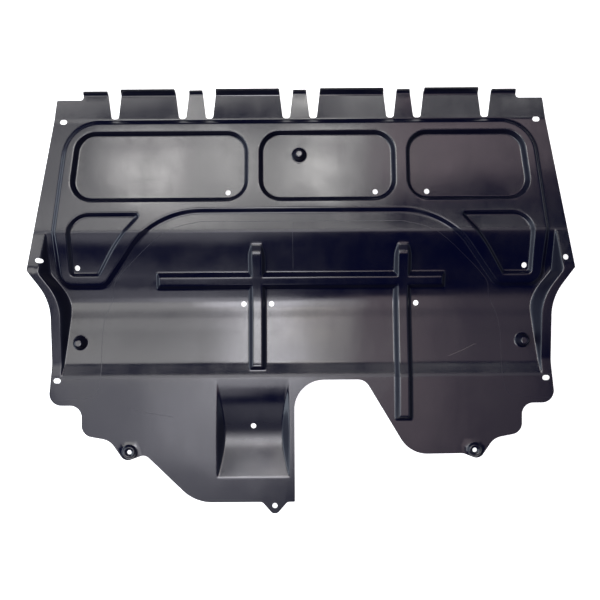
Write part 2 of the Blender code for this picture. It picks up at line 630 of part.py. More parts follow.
def lip_height(y):
    """Upper face of the side lips, which carry on from the front panel and then fall away."""
    return np.interp(y, [CREST_Y, TIP_Y, CREASE_Y], [REAR_Z, TIP_Z, CREASE_Z])


def rib_height(y):
    """Top of the ribs: they rise out of the ramp, and then keep the same height above it."""
    risen = np.clip((RIB_START_Y - y) / RIB_START_RUN, 0.0, 1.0)
    return panel_height(y) + RIB_HEIGHT * risen


def wall_rows():
    """Rows of Y at which the side walls are drawn."""
    rows = [CREASE_Y + (TIP_Y - CREASE_Y) * k / 3 for k in range(4)]
    rows += [TIP_Y + (DEEP_Y - TIP_Y) * k / 5 for k in range(1, 6)]
    rows += [DEEP_Y + (CREST_Y - DEEP_Y) * k / 4 for k in range(1, 5)]
    return np.array(rows + [BAND_Y])


def wall_lines():
    """Top and foot of the side wall, at the rows, on the right-hand side."""
    rows = wall_rows()
    top = lip_edge(rows)
    drop = np.maximum(lip_height(rows) - panel_height(rows), 0.0)
    return rows, top, top - WALL_DRAFT * drop


def sheet_height(px, py):
    """Height of the upper face of the sheet at each point."""
    z = panel_height(py)

    rows, top, foot = wall_lines()
    order = np.argsort(rows)
    top_x = np.interp(py, rows[order], top[order])
    foot_x = np.interp(py, rows[order], foot[order])
    out = (np.abs(px) - foot_x) / np.maximum(top_x - foot_x, 1e-9)
    out = np.where(np.abs(px) >= top_x - 1e-7, 1.0, np.clip(out, 0.0, 1.0))
    walled = (py < CREASE_Y) & (py > BAND_Y)
    z = z + np.where(walled, out * (lip_height(py) - z), 0.0)

    z = z + FRAME_HEIGHT * drafted(px, py, *frame_loops())
    for rim, floor in pocket_loops():
        z = z - POCKET_DEPTH * drafted(px, py, rim, floor)
    for rim, floor in corner_pocket_loops():
        z = z - CORNER_POCKET_DEPTH * drafted(px, py, rim, floor)

    rise = np.zeros(len(px))
    for foot_loop, top_loop in rib_loops():
        rise = np.maximum(rise, drafted(px, py, foot_loop, top_loop))
    z = z + rise * np.maximum(rib_height(py) - panel_height(py), 0.0)

    rim, foot_loop, _ = tunnel_loops()
    z = z - tunnel_depth(py) * drafted(px, py, rim, foot_loop)

    for x, y in boss_places():
        away = np.hypot(px - x, py - y)
        slope = (BOSS_BASE_RADIUS - away) / (BOSS_BASE_RADIUS - BOSS_TOP_RADIUS)
        z = z + BOSS_HEIGHT * np.clip(slope, 0.0, 1.0)
    for x, y in screw_places():
        away = np.hypot(px - x, py - y)
        radii = [SCREW_HOLE / 2, SCREW_DISH_RADIUS, SCREW_BOSS_RING_RADIUS, SCREW_BOSS_RADIUS]
        heights = [SCREW_BOSS_HEIGHT - SCREW_DISH_DEPTH, SCREW_BOSS_HEIGHT,
                   SCREW_BOSS_HEIGHT, 0.0]
        z = z + np.interp(away, radii, heights)

    return z + tab_height(px, py)


def tab_height(px, py):
    """Upturned lips on the tabs, and the slight drop of the three narrow tabs."""
    across = np.abs(px)
    narrow = (across < FIRST_NOTCH_X) | ((across > SECOND_NOTCH_X) & (across < THIRD_NOTCH_X))
    outer = across > LAST_NOTCH_X
    drop = np.clip((py - NOTCH_Y) / NOTCH_DEPTH, 0.0, 1.0) * NARROW_TAB_DROP
    edge_y = np.where(outer, TAB_Y - OUTER_TAB_SETBACK, TAB_Y)
    run = np.where(narrow | outer, SMALL_LIP_RUN, WIDE_LIP_RUN)
    height = np.where(narrow | outer, SMALL_LIP_HEIGHT, WIDE_LIP_HEIGHT)
    lip = np.clip((py - edge_y + run) / run, 0.0, 1.0) * height
    lip = np.where(across > OUTER_TAB_EDGE + 0.001, 0.0, lip)
    return lip - np.where(narrow, drop, 0.0)


def in_steps(line):
    """The line with points added, so that no piece is long, and none on the ramp too long."""
    points = [line[0]]
    for (x0, y0), (x1, y1) in zip(line, line[1:]):
        on_ramp = min(max(y0, y1), CREASE_Y) - max(min(y0, y1), DEEP_Y)
        parts = max(math.ceil(math.hypot(x1 - x0, y1 - y0) / LONG_STEP),
                    math.ceil(on_ramp / RAMP_STEP), 1)
        points += [(x0 + (x1 - x0) * k / parts, y0 + (y1 - y0) * k / parts)
                   for k in range(1, parts + 1)]
    return points


def loose_points(lines):
    """Points of the open areas, in rows that follow the ramp, clear of every line."""
    ramp_rows = round(RAMP_LENGTH / RAMP_STEP)
    rows = [DEEP_Y + RAMP_LENGTH * k / ramp_rows for k in range(1, ramp_rows)]
    rows += [CREASE_Y + LONG_STEP * (k + 0.5) for k in range(7)]
    rows += [DEEP_Y - LONG_STEP * (k + 0.5) for k in range(10)]
    across = math.ceil(2 * TIP_HALF_WIDTH / LONG_STEP)
    points = [((k - across / 2 + (0.25 if n % 2 else -0.25)) * LONG_STEP, y)
              for n, y in enumerate(rows) for k in range(across + 1)]
    px = np.array([x for x, y in points])
    py = np.array([y for x, y in points])
    clear = np.ones(len(points), dtype=bool)
    for line in lines:
        clear &= distance(px, py, line + line[-2::-1]) > POINT_CLEARANCE
    return [point for point, kept in zip(points, clear) if kept]


def fold_lines():
    """Straight lines across the sheet where its slope changes, and rows along its curves."""
    wide = TIP_HALF_WIDTH + 0.02
    first, second, third, last = FIRST_NOTCH_X, SECOND_NOTCH_X, THIRD_NOTCH_X, LAST_NOTCH_X
    lines = [[(-wide, y), (wide, y)] for y in (FOLD_Y, CREASE_Y, DEEP_Y, CREST_Y, BAND_Y)]
    rows, top, foot = wall_lines()
    for side in (-1, 1):
        for xs in (top, foot):
            points = [(side * float(x), float(y)) for x, y in zip(xs, rows)]
            lines.append(points)
        lines += [[(side * float(a), float(y)), (side * float(b), float(y))]
                  for a, b, y in zip(top, foot, rows) if a - b > 1e-4]
        corner_x = side * float(np.interp(TIP_Y, rows[::-1], top[::-1]))
        lines.append([(corner_x, TIP_Y), (side * TIP_HALF_WIDTH, TIP_Y)])
    small = TAB_Y - SMALL_LIP_RUN
    wide_y = TAB_Y - WIDE_LIP_RUN
    outer_y = TAB_Y - OUTER_TAB_SETBACK - SMALL_LIP_RUN
    lines += [[(-first, small), (first, small)], [(-first, NOTCH_Y), (first, NOTCH_Y)]]
    for side in (-1, 1):
        lines += [[(side * second, small), (side * third, small)],
                  [(side * second, NOTCH_Y), (side * third, NOTCH_Y)],
                  [(side * first, wide_y), (side * second, wide_y)],
                  [(side * third, wide_y), (side * last, wide_y)],
                  [(side * last, outer_y), (side * OUTER_TAB_EDGE, outer_y)]]
    rim, foot_loop, rows = tunnel_loops()
    lines += [[(foot_loop[k][0], rows[k]), (foot_loop[-1 - k][0], rows[k])]
              for k in range(1, len(rows) - 1)]
    half_foot = RIB_TOP_WIDTH / 2 + RIB_SIDE_RUN
    lines += [[(x - half_foot, RIB_START_Y - RIB_START_RUN),
               (x + half_foot, RIB_START_Y - RIB_START_RUN)] for x in (LEFT_RIB_X, RIGHT_RIB_X)]
    return lines + rib_mitres()


def same_place(points):
    """For each point, the first point that lies in the same place."""
    tree = KDTree(len(points))
    for k, point in enumerate(points):
        tree.insert(point.to_3d(), k)
    tree.balance()
    return [min(found[1] for found in tree.find_range(point.to_3d(), SAME_PLACE))
            for point in points]


def formed_surface():
    """The upper face of the trimmed sheet as vertices and triangles."""
    outline = rounded(outline_corners())
    holes = hole_loops()
    loops = [outline] + holes
    for outer, inner in [frame_loops()] + pocket_loops() + corner_pocket_loops() + rib_loops():
        loops += [outer, inner]
    rim, foot_loop, _ = tunnel_loops()
    loops += [rim, foot_loop]
    for x, y in boss_places():
        loops += [circle(x, y, BOSS_BASE_RADIUS), circle(x, y, BOSS_TOP_RADIUS)]
    for x, y in screw_places():
        for radius in (SCREW_BOSS_RADIUS, SCREW_BOSS_RING_RADIUS, SCREW_DISH_RADIUS):
            loops.append(circle(x, y, radius))

    lines = [in_steps(loop + loop[:1]) for loop in loops]
    lines += [in_steps(line) for line in fold_lines()]
    points = []
    edges = []
    for line in lines:
        first = len(points)
        points += [Vector(p) for p in line]
        edges += [(k, k + 1) for k in range(first, len(points) - 1)]
    points += [Vector(p) for p in loose_points(lines)]
    first_here = same_place(points)
    edges = [(first_here[a], first_here[b]) for a, b in edges]
    edges = [(a, b) for a, b in edges if a != b]
    new_number = {old: new for new, old in enumerate(sorted(set(first_here)))}
    edges = [(new_number[a], new_number[b]) for a, b in edges]
    points = [points[k] for k in new_number]
    verts, _, faces, _, _, _ = delaunay_2d_cdt(points, edges, [], 0, 0.0001, False)

    xy = np.array([(v.x, v.y) for v in verts])
    faces = np.array([f for f in faces if len(f) == 3])
    centres = xy[faces].mean(axis=1)
    keep = inside(centres[:, 0], centres[:, 1], outline)
    for hole in holes:
        keep &= ~inside(centres[:, 0], centres[:, 1], hole)
    faces = faces[keep]
    z = sheet_height(xy[:, 0], xy[:, 1])
    return np.column_stack([xy, z]), faces


def black_plastic():
    """Black moulded plastic with a satin face."""
    material = bpy.data.materials.new("black_plastic")
    material.use_nodes = True
    shader = material.node_tree.nodes["Principled BSDF"]
    shader.inputs["Base Color"].default_value = (0.035, 0.035, 0.038, 1.0)
    shader.inputs["Roughness"].default_value = 0.42
    shader.inputs["Metallic"].default_value = 0.0
    return material


def main():
    for old in list(bpy.data.objects):
        bpy.data.objects.remove(old, do_unlink=True)
    group = bpy.data.collections.new("engine_splash_shield")
    bpy.context.scene.collection.children.link(group)

    points, faces = formed_surface()
    mesh = bpy.data.meshes.new("splash_shield")
    mesh.from_pydata(points.tolist(), [], faces.tolist())
    surface = bmesh.new()
    surface.from_mesh(mesh)
    loose = [v for v in surface.verts if not v.link_faces]
    bmesh.ops.delete(surface, geom=loose, context="VERTS")
    surface.to_mesh(mesh)
    surface.free()
    mesh.update()

    shield = bpy.data.objects.new("splash_shield", mesh)
    group.objects.link(shield)
    mesh.materials.append(black_plastic())
    thick = shield.modifiers.new("sheet", "SOLIDIFY")
    thick.thickness = SHEET
    thick.offset = -1.0
    thick.use_even_offset = True
    thick.use_quality_normals = True


main()
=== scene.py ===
# %% [markdown]
# # Engine splash shield
#
# The shield is one sheet of black plastic, about 3 mm thick, that closes the underside of an
# engine bay. It is heated, drawn by vacuum over a mould, cooled, and then cut out by a router.
# It lies here with the engine side up.
#
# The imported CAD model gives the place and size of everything. It has sharp folds, because a
# solid for machining and simulation needs few faces. A sheet drawn over a mould has none: its
# folds are round, and most of what the eye reads on black plastic is the light that runs along
# those rounds. So the sheet is built again here with its radii, inside the same box.

# %% Load the frame
import math

import bpy
import numpy as np
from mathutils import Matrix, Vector
from mathutils.geometry import delaunay_2d_cdt
from mathutils.kdtree import KDTree


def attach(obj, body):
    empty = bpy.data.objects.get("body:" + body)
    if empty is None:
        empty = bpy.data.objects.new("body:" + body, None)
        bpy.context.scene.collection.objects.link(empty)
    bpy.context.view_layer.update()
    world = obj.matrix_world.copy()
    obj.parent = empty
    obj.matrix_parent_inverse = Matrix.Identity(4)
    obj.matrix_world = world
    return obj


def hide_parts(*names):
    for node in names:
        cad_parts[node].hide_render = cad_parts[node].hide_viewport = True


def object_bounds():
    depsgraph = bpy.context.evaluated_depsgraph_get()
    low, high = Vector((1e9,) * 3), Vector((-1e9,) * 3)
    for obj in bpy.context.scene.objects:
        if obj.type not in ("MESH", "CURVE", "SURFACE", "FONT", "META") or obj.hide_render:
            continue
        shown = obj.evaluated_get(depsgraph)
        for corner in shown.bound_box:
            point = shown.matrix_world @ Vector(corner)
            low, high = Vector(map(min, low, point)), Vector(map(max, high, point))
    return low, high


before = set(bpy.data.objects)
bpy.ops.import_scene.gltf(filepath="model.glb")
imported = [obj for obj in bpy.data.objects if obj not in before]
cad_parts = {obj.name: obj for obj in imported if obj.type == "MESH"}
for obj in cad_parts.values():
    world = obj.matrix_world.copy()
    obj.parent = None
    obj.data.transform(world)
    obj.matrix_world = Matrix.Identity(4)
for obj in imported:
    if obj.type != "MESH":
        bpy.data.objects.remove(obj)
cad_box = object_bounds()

print("CAD box in metres:", [[round(v, 4) for v in corner] for corner in cad_box])

# %% [markdown]
# ## Sizes
#
# The sizes in plan are those of the CAD model. X runs across the car, Y forward to the edge with
# the tabs, Z up. Every position is worked out from the size before it, so the list reads like a
# tape measure laid along the part: once from the front edge to the rear, once from the middle
# outward. A list of finished positions would be shorter, but one change would then need many.

# %% Sizes along the car and heights
SHEET = 0.003
LIP_REACH = 0.0028
FLANGE_LENGTH = 0.0505
FRONT_PANEL_LENGTH = 0.1976
RAMP_LENGTH = 0.1266
BACK_PANEL_LENGTH = 0.101
BAND_LENGTH = 0.024
REAR_LENGTH = 0.242
FRONT_PANEL_RISE = 0.029
BACK_PANEL_RISE = 0.013
BAND_RISE = 0.0055
NOTCH_DEPTH = 0.0472
TIP_BEHIND_CREASE = 0.0666
LEG_LENGTH = 0.098

LENGTH = (LIP_REACH + FLANGE_LENGTH + FRONT_PANEL_LENGTH + RAMP_LENGTH
          + BACK_PANEL_LENGTH + BAND_LENGTH + REAR_LENGTH)
TAB_Y = LENGTH / 2 - LIP_REACH
FOLD_Y = TAB_Y - FLANGE_LENGTH
CREASE_Y = FOLD_Y - FRONT_PANEL_LENGTH
DEEP_Y = CREASE_Y - RAMP_LENGTH
CREST_Y = DEEP_Y - BACK_PANEL_LENGTH
BAND_Y = CREST_Y - BAND_LENGTH
TAIL_Y = BAND_Y - REAR_LENGTH
TIP_Y = CREASE_Y - TIP_BEHIND_CREASE
SHOULDER_Y = TAB_Y + LIP_REACH - 0.0163
NOTCH_Y = TAB_Y - NOTCH_DEPTH
LOBE_Y = TAIL_Y + 0.0205
CORNER_Y = BAND_Y - 0.051
STEP_Y = CORNER_Y - 0.052
NECK_Y = STEP_Y - 0.009
EAR_Y = NECK_Y - 0.0205
RIGHT_LOBE_Y = EAR_Y - 0.007
LEG_Y = CREASE_Y - LEG_LENGTH
BRIDGE_Y = CREASE_Y + 0.0322
CROSS_RIB_Y = DEEP_Y + 0.0395
RIB_START_Y = CREASE_Y - 0.0216
print("length in metres:", round(LENGTH, 4))

# %% Sizes across the car
NOTCHES = (0.0237, 0.1594, 0.2069, 0.326)
OUTER_TAB_EDGE = NOTCHES[3] + 0.0554
FRONT_HALF = OUTER_TAB_EDGE + 0.0469
TIP_HALF = FRONT_HALF + 0.0439
ARCH_HALF = TIP_HALF - 0.0382
WAIST_HALF = ARCH_HALF + 0.002
REAR_HALF = WAIST_HALF + 0.0075
STEP_HALF = REAR_HALF - 0.0585
NECK_HALF = STEP_HALF - 0.049
EAR_HALF = NECK_HALF - 0.0345
CUTOUT_X = -0.013
TAIL_EAR_X = CUTOUT_X - 0.035
FRAME_FRONT_HALF = FRONT_HALF - 0.0178
FRAME_FOOT_HALF = ARCH_HALF - 0.0095
FRAME_CREASE_HALF = 0.0101 + FRAME_FOOT_HALF + (
    (FRAME_FRONT_HALF - FRAME_FOOT_HALF) * LEG_LENGTH / (LEG_LENGTH + FRONT_PANEL_LENGTH))
LEG_INNER_HALF = FRAME_FOOT_HALF - 0.082
BRIDGE_HALF = LEG_INNER_HALF - 0.0955
print("width in metres:", round(2 * TIP_HALF, 4))

# %% [markdown]
# ## Heights
#
# The sheet lies on the front edge of its pockets, on its deepest fold and on the tunnel floor, so
# the heights follow from those three. The ramp isn't flat but bulges: it leaves the deepest fold
# gently, is steepest 30 mm from the crease and eases off again. The tunnel floor curves down,
# levels out and rises straight. Both show in the light on the black sheet, where a flat ramp
# would be one even tone.

# %% Heights of the folds
BORDER = 0.0213
FRAME_HEIGHT = 0.006
POCKET_DEPTH = 0.0129
POCKET_RUN = 0.004
CORNER_POCKET_DEPTH = 0.008
CORNER_POCKET_RUN = 0.005
SLOPE = FRONT_PANEL_RISE / FRONT_PANEL_LENGTH
FOLD_Z = SHEET * (1 + SLOPE) + POCKET_DEPTH - FRAME_HEIGHT - SLOPE * (BORDER + POCKET_RUN)
CREASE_Z = FOLD_Z + FRONT_PANEL_RISE
DEEP_Z = SHEET
CREST_Z = DEEP_Z + BACK_PANEL_RISE
REAR_Z = CREST_Z + BAND_RISE
TIP_Z = CREASE_Z + SLOPE * TIP_BEHIND_CREASE
RAMP_FOOT_SLOPE, RAMP_TOP_SLOPE = 0.175, 0.25
STEEP_Y = CREASE_Y - 0.030
CREST_FOLD_Y, BAND_FOLD_Y = CREST_Y - 0.002, BAND_Y - 0.0015
TUNNEL_DEPTH = REAR_Z - 1.07 * SHEET
TUNNEL_FRONT_Y = BAND_Y - 0.0025
TUNNEL_FALL, TUNNEL_FLOOR, TUNNEL_RISE = 0.094, 0.018, 0.064
TUNNEL_LENGTH = TUNNEL_FALL + TUNNEL_FLOOR + TUNNEL_RISE
TUNNEL_HALF, TUNNEL_RUN = 0.1259 / 2, 0.0120
print("heights of fold, crease and tip in mm:",
      [round(z * 1000, 1) for z in (FOLD_Z, CREASE_Z, TIP_Z)])

# %% [markdown]
# ## Outlines with round corners
#
# A router follows the trimmed edge, so its inner corners are as round as the cutter, and the
# mould was milled too. Every outline on the part is therefore a list of corners with a radius at
# each. Curves could be drawn by hand as splines, but then no radius could be read or changed.

# %% Round the corners of an outline
def unit(x, y):
    size = math.hypot(x, y)
    return x / size, y / size


def mirrored(corners):
    return [(-x, y, radius) for x, y, radius in reversed(corners)]


def moved_inward(corners, distances):
    """A closed anticlockwise outline with each edge moved inward by its own distance."""
    lines = []
    for i, (x0, y0, _) in enumerate(corners):
        x1, y1, _ = corners[(i + 1) % len(corners)]
        ux, uy = unit(x1 - x0, y1 - y0)
        lines.append((x0 - uy * distances[i], y0 + ux * distances[i], ux, uy))
    result = []
    for i, corner in enumerate(corners):
        ax, ay, aux, auy = lines[i - 1]
        bx, by, bux, buy = lines[i]
        turn = aux * buy - auy * bux
        along = ((bx - ax) * buy - (by - ay) * bux) / turn
        shift = (distances[i - 1] + distances[i]) / 2
        radius = corner[2]
        if radius > 0:
            radius = max(radius - math.copysign(shift, turn), 0.0)
        result.append((ax + aux * along, ay + auy * along, radius))
    return result


def rounded(corners, sag=0.00006):
    """Points of a closed outline, with each (x, y, radius) corner made an arc."""
    points = []
    for i, (x, y, radius) in enumerate(corners):
        px, py, _ = corners[i - 1]
        nx, ny, _ = corners[(i + 1) % len(corners)]
        inx, iny = unit(x - px, y - py)
        outx, outy = unit(nx - x, ny - y)
        turn = math.atan2(inx * outy - iny * outx, inx * outx + iny * outy)
        half = abs(math.tan(turn / 2))
        shortest = min(math.hypot(x - px, y - py), math.hypot(nx - x, ny - y))
        radius = min(radius, 0.48 * shortest / max(half, 1e-6))
        if radius < 0.0005 or abs(turn) < 0.02:
            points.append((x, y))
            continue
        side = math.copysign(1.0, turn)
        cx = x - inx * radius * half - iny * radius * side
        cy = y - iny * radius * half + inx * radius * side
        start = math.atan2(y - iny * radius * half - cy, x - inx * radius * half - cx)
        step = min(2 * math.acos(1 - sag / radius), math.pi / 8)
        steps = max(2, math.ceil(abs(turn) / step))
        points += [(cx + radius * math.cos(start + turn * k / steps),
                    cy + radius * math.sin(start + turn * k / steps)) for k in range(steps + 1)]
    return points


def circle(x, y, radius, steps=32):
    return [(x + radius * math.cos(2 * math.pi * k / steps),
             y + radius * math.sin(2 * math.pi * k / steps)) for k in range(steps)]


def slot(x, y, length, width, turned=0.0):
    reach = (length - width) / 2
    points = []
    for end in (0, 1):
        for k in range(13):
            angle = math.pi * (end - 0.5 + k / 12)
            ex = (reach if end == 0 else -reach) + math.cos(angle) * width / 2
            ey = math.sin(angle) * width / 2
            points.append((x + ex * math.cos(turned) - ey * math.sin(turned),
                           y + ex * math.sin(turned) + ey * math.cos(turned)))
    return points


print("points of a 10 mm hole:", len(circle(0, 0, 0.005)))

# %% [markdown]
# ## The trimmed edge
#
# The front edge has nine tabs between eight notches, the sides flare out to a tip and curve in
# around the wheels, and the rear ends in two lobes with an ear each, either side of a cut-out
# for the exhaust. The list goes round anticlockwise from the right tip. The notches and holes
# could be cut out of a plain plate one by one, but each cut leaves slivers in the mesh. Here
# they are loops, and the net of faces is made around all of them at once.

# %% Trimmed edge
arch = [(TIP_HALF, TIP_Y, 0.0), (ARCH_HALF, TIP_Y - 0.052, 0.148),
        (WAIST_HALF, CREST_Y - 0.004, 0.15), (REAR_HALF, CORNER_Y, 0.021)]
side = arch[1:] + [(STEP_HALF, CORNER_Y, 0.02), (STEP_HALF, STEP_Y, 0.02),
                   (NECK_HALF, NECK_Y, 0.03)]
front = [(TIP_HALF, TIP_Y, 0.0), (FRONT_HALF, SHOULDER_Y, 0.002),
         (OUTER_TAB_EDGE, SHOULDER_Y, 0.009), (OUTER_TAB_EDGE, TAB_Y - 0.0015, 0.0015)]
for centre in reversed(NOTCHES):
    outer_y = TAB_Y - (0.0015 if centre == NOTCHES[3] else 0.0)
    front += [(centre + 0.012, outer_y, 0.0015), (centre + 0.00625, NOTCH_Y, 0.005),
              (centre - 0.00625, NOTCH_Y, 0.005), (centre - 0.012, TAB_Y, 0.0015)]
front += mirrored(front)
ear = (EAR_HALF + 0.0085, EAR_Y - 0.0175, 0.0145)
left = [(-x, y, radius) for x, y, radius in side + [ear]]
left += [(-EAR_HALF + 0.027, EAR_Y - 0.0045, 0.014), (-EAR_HALF + 0.114, LOBE_Y, 0.074),
         (TAIL_EAR_X - 0.022, LOBE_Y, 0.008), (TAIL_EAR_X, TAIL_Y - 0.00456, 0.0094),
         (TAIL_EAR_X + 0.022, LOBE_Y, 0.008), (CUTOUT_X, LOBE_Y, 0.0015)]
cutout = [(CUTOUT_X, BAND_Y - 0.0085, 0.052), (CUTOUT_X + 0.124, BAND_Y - 0.0085, 0.023),
          (CUTOUT_X + 0.202, RIGHT_LOBE_Y, 0.053)]
right = [(EAR_HALF - 0.0195, RIGHT_LOBE_Y + 0.001, 0.015), ear] + side[::-1]
outline = rounded(front + left + cutout + right)
print("points of the trimmed edge:", len(outline))


# %% Holes
DRAIN_RADIUS, EAR_HOLE_RADIUS = 0.00475, 0.004
SLOT_LENGTH, SLOT_WIDTH = 0.013, 0.009


def side_edge(y):
    return TIP_HALF + (FRONT_HALF - TIP_HALF) * (y - TIP_Y) / (SHOULDER_Y - TIP_Y)


BARS = (-0.0813, 0.1764)
RIBS = ((-0.0767, DEEP_Y - 0.115), (0.1785, DEEP_Y - 0.2035))
TUNNEL_X = -0.0854
slot_y = SHOULDER_Y - 0.038
side_y = TIP_Y + 0.0174
side_x = side_edge(side_y)
drain_y = BRIDGE_Y + BORDER + 0.015
leg_x, leg_drain_y = FRAME_FOOT_HALF - BORDER - 0.011, LEG_Y + BORDER + 0.015
holes = [slot(s * x, y, SLOT_LENGTH, SLOT_WIDTH) for s in (-1, 1) for x, y in (
    (side_edge(slot_y) - 0.0165, slot_y), (WAIST_HALF - 0.0085, BAND_Y - 0.0074))]
holes += [slot(0.0178 - side_x, side_y, SLOT_LENGTH, 0.008, math.radians(-12)),
          circle(side_x - 0.0128, side_y, DRAIN_RADIUS)]
holes += [circle(s * EAR_HALF, EAR_Y, EAR_HOLE_RADIUS) for s in (-1, 1)]
drains = [(BARS[0] - 0.04515, drain_y), (BARS[1] - 0.04515, drain_y),
          (BARS[1] + 0.04515, drain_y), (RIBS[0][0] - 0.0245, DEEP_Y),
          (RIBS[0][0] + 0.0245, DEEP_Y), (RIBS[1][0] + 0.0245, DEEP_Y),
          (TUNNEL_X, TUNNEL_FRONT_Y - 0.088), (TAIL_EAR_X, TAIL_Y + 0.014),
          (-leg_x, leg_drain_y), (leg_x, leg_drain_y)]
holes += [circle(x, y, DRAIN_RADIUS) for x, y in drains]
print("holes:", len(holes))

# %% [markdown]
# ## Frame, pockets and ribs
#
# A flat sheet of this size would flap in the wind under the car. The raised frame, the pockets
# in it and the ribs make it stiff. Each is a rim with a second line inside it where the drafted
# wall ends, so each is kept as a pair: the corners, and how far every edge of it moves in.
# Blocks joined to the sheet would need walls cut to fit the sloping panels under them. A pair
# of loops only says how much height is added inside it, so it fits any ground.

# %% Corners of the formed features
frame_side = [(LEG_INNER_HALF, LEG_Y, 0.026), (FRAME_FOOT_HALF, LEG_Y, 0.026),
              (FRAME_CREASE_HALF, CREASE_Y, 0.06), (FRAME_FRONT_HALF, FOLD_Y, 0.065)]
frame_foot = frame_side + mirrored(frame_side) + [(-BRIDGE_HALF, BRIDGE_Y, 0.15),
                                                  (BRIDGE_HALF, BRIDGE_Y, 0.15)]
frame_runs = [0.0068] + [0.0052] * 5 + [0.0068] * 4
side_slope = (FRAME_FRONT_HALF - FRAME_CREASE_HALF) / (FOLD_Y - CREASE_Y)
side_at_crease = FRAME_CREASE_HALF - BORDER * math.hypot(1.0, side_slope)


def rim_x(y):
    return side_at_crease + side_slope * (y - CREASE_Y)


pocket_front, pocket_rear, half_bar = FOLD_Y - BORDER, BRIDGE_Y + BORDER, BORDER / 2
pockets = []
for rear_l, front_l, front_r, rear_r in (
        (-rim_x(pocket_rear), -rim_x(pocket_front), BARS[0] - half_bar, BARS[0] - half_bar),
        (BARS[0] + half_bar, BARS[0] + half_bar, BARS[1] - half_bar, BARS[1] - half_bar),
        (BARS[1] + half_bar, BARS[1] + half_bar, rim_x(pocket_front), rim_x(pocket_rear))):
    pockets.append([(rear_l, pocket_rear, 0.036), (rear_r, pocket_rear, 0.036),
                    (front_r, pocket_front, 0.036), (front_l, pocket_front, 0.036)])

leg = moved_inward(frame_foot, [BORDER] * 10)
inner, outer, bridge = leg[0], leg[1], leg[9]
tip_x = inner[0] + (bridge[0] - inner[0]) * (BRIDGE_Y - inner[1]) / (bridge[1] - inner[1])
ux, uy = unit(tip_x - inner[0], BRIDGE_Y - inner[1])
corner_pocket = [(inner[0], inner[1], 0.008), (outer[0], outer[1], 0.008),
                 (rim_x(BRIDGE_Y), BRIDGE_Y, 0.038), (tip_x, BRIDGE_Y, 0.0055),
                 ((inner[0] + tip_x) / 2 + uy * 0.0065,
                  (inner[1] + BRIDGE_Y) / 2 - ux * 0.0065, 0.4)]
formed = [(frame_foot, frame_runs, FRAME_HEIGHT)]
formed += [(rim, [POCKET_RUN] * 4, -POCKET_DEPTH) for rim in pockets]
formed += [(rim, [CORNER_POCKET_RUN] * 5, -CORNER_POCKET_DEPTH)
           for rim in (corner_pocket, mirrored(corner_pocket))]
print("frame and pockets:", len(formed))

# %% Ribs
RIB_HEIGHT, RIB_HALF_TOP, RIB_RUN = 0.011, 0.00875, 0.0055
CROSS_HALF_TOP, CROSS_FRONT_RUN, CROSS_REAR_RUN = 0.00715, 0.0086, 0.0058
CROSS_END = LEG_INNER_HALF - 0.0895
half_foot = RIB_HALF_TOP + RIB_RUN
RIB_START_RUN = 0.0204
full_y = RIB_START_Y - RIB_START_RUN
rib_loops = []
for x, end_y in RIBS:
    rib_loops.append((
        [(x - half_foot, end_y), (x + half_foot, end_y), (x + half_foot, full_y),
         (x + RIB_HALF_TOP, RIB_START_Y), (x - RIB_HALF_TOP, RIB_START_Y),
         (x - half_foot, full_y)],
        [(x - RIB_HALF_TOP, end_y + RIB_RUN), (x + RIB_HALF_TOP, end_y + RIB_RUN),
         (x + RIB_HALF_TOP, RIB_START_Y), (x - RIB_HALF_TOP, RIB_START_Y)]))
y0, y1 = CROSS_RIB_Y - CROSS_HALF_TOP, CROSS_RIB_Y + CROSS_HALF_TOP
e0, e1 = CROSS_END, CROSS_END - RIB_RUN
rib_loops.append((
    [(-e0, y0 - CROSS_REAR_RUN), (e0, y0 - CROSS_REAR_RUN),
     (e0, y1 + CROSS_FRONT_RUN), (-e0, y1 + CROSS_FRONT_RUN)],
    [(-e1, y0), (e1, y0), (e1, y1), (-e1, y1)]))
print("ribs:", len(rib_loops))

# %% Tunnel and bosses
tunnel_rear = TUNNEL_FRONT_Y - TUNNEL_LENGTH
tunnel_left, tunnel_right = TUNNEL_X - TUNNEL_HALF, TUNNEL_X + TUNNEL_HALF
tunnel_rim = [(tunnel_left, tunnel_rear), (tunnel_right, tunnel_rear),
              (tunnel_right, TUNNEL_FRONT_Y), (tunnel_left, TUNNEL_FRONT_Y)]


def tunnel_depth(y):
    """Depth below the rear panel: the floor curves down, levels out, and rises."""
    back = np.clip(TUNNEL_FRONT_Y - y, 0.0, TUNNEL_LENGTH)
    fall = np.minimum(back / TUNNEL_FALL, 1.0)
    rise = np.maximum(back - TUNNEL_FALL - TUNNEL_FLOOR, 0.0) / TUNNEL_RISE
    return TUNNEL_DEPTH * (fall * fall - 0.97 * rise - 0.03 * rise * rise)


# The side walls are widest where the tunnel is deepest, and end in a point at both ends.
tunnel_shares = [k / 44 for k in range(45)]
tunnel_rows = [tunnel_rear + TUNNEL_LENGTH * share for share in tunnel_shares]
tunnel_runs = [TUNNEL_RUN * max(math.sin(math.pi * (1 - share) ** 1.2), 0.0)
               for share in tunnel_shares]
tunnel_foot = [(tunnel_right - run, y) for y, run in zip(tunnel_rows, tunnel_runs)]
tunnel_foot += [(2 * TUNNEL_X - x, y) for x, y in reversed(tunnel_foot)]
bosses = [(-0.0014, pocket_front - 0.0415), (-WAIST_HALF + 0.048, DEEP_Y - 0.0665),
          (WAIST_HALF - 0.048, DEEP_Y - 0.0665)]
print("tunnel length in mm:", round(TUNNEL_LENGTH * 1000), "bosses:", len(bosses))

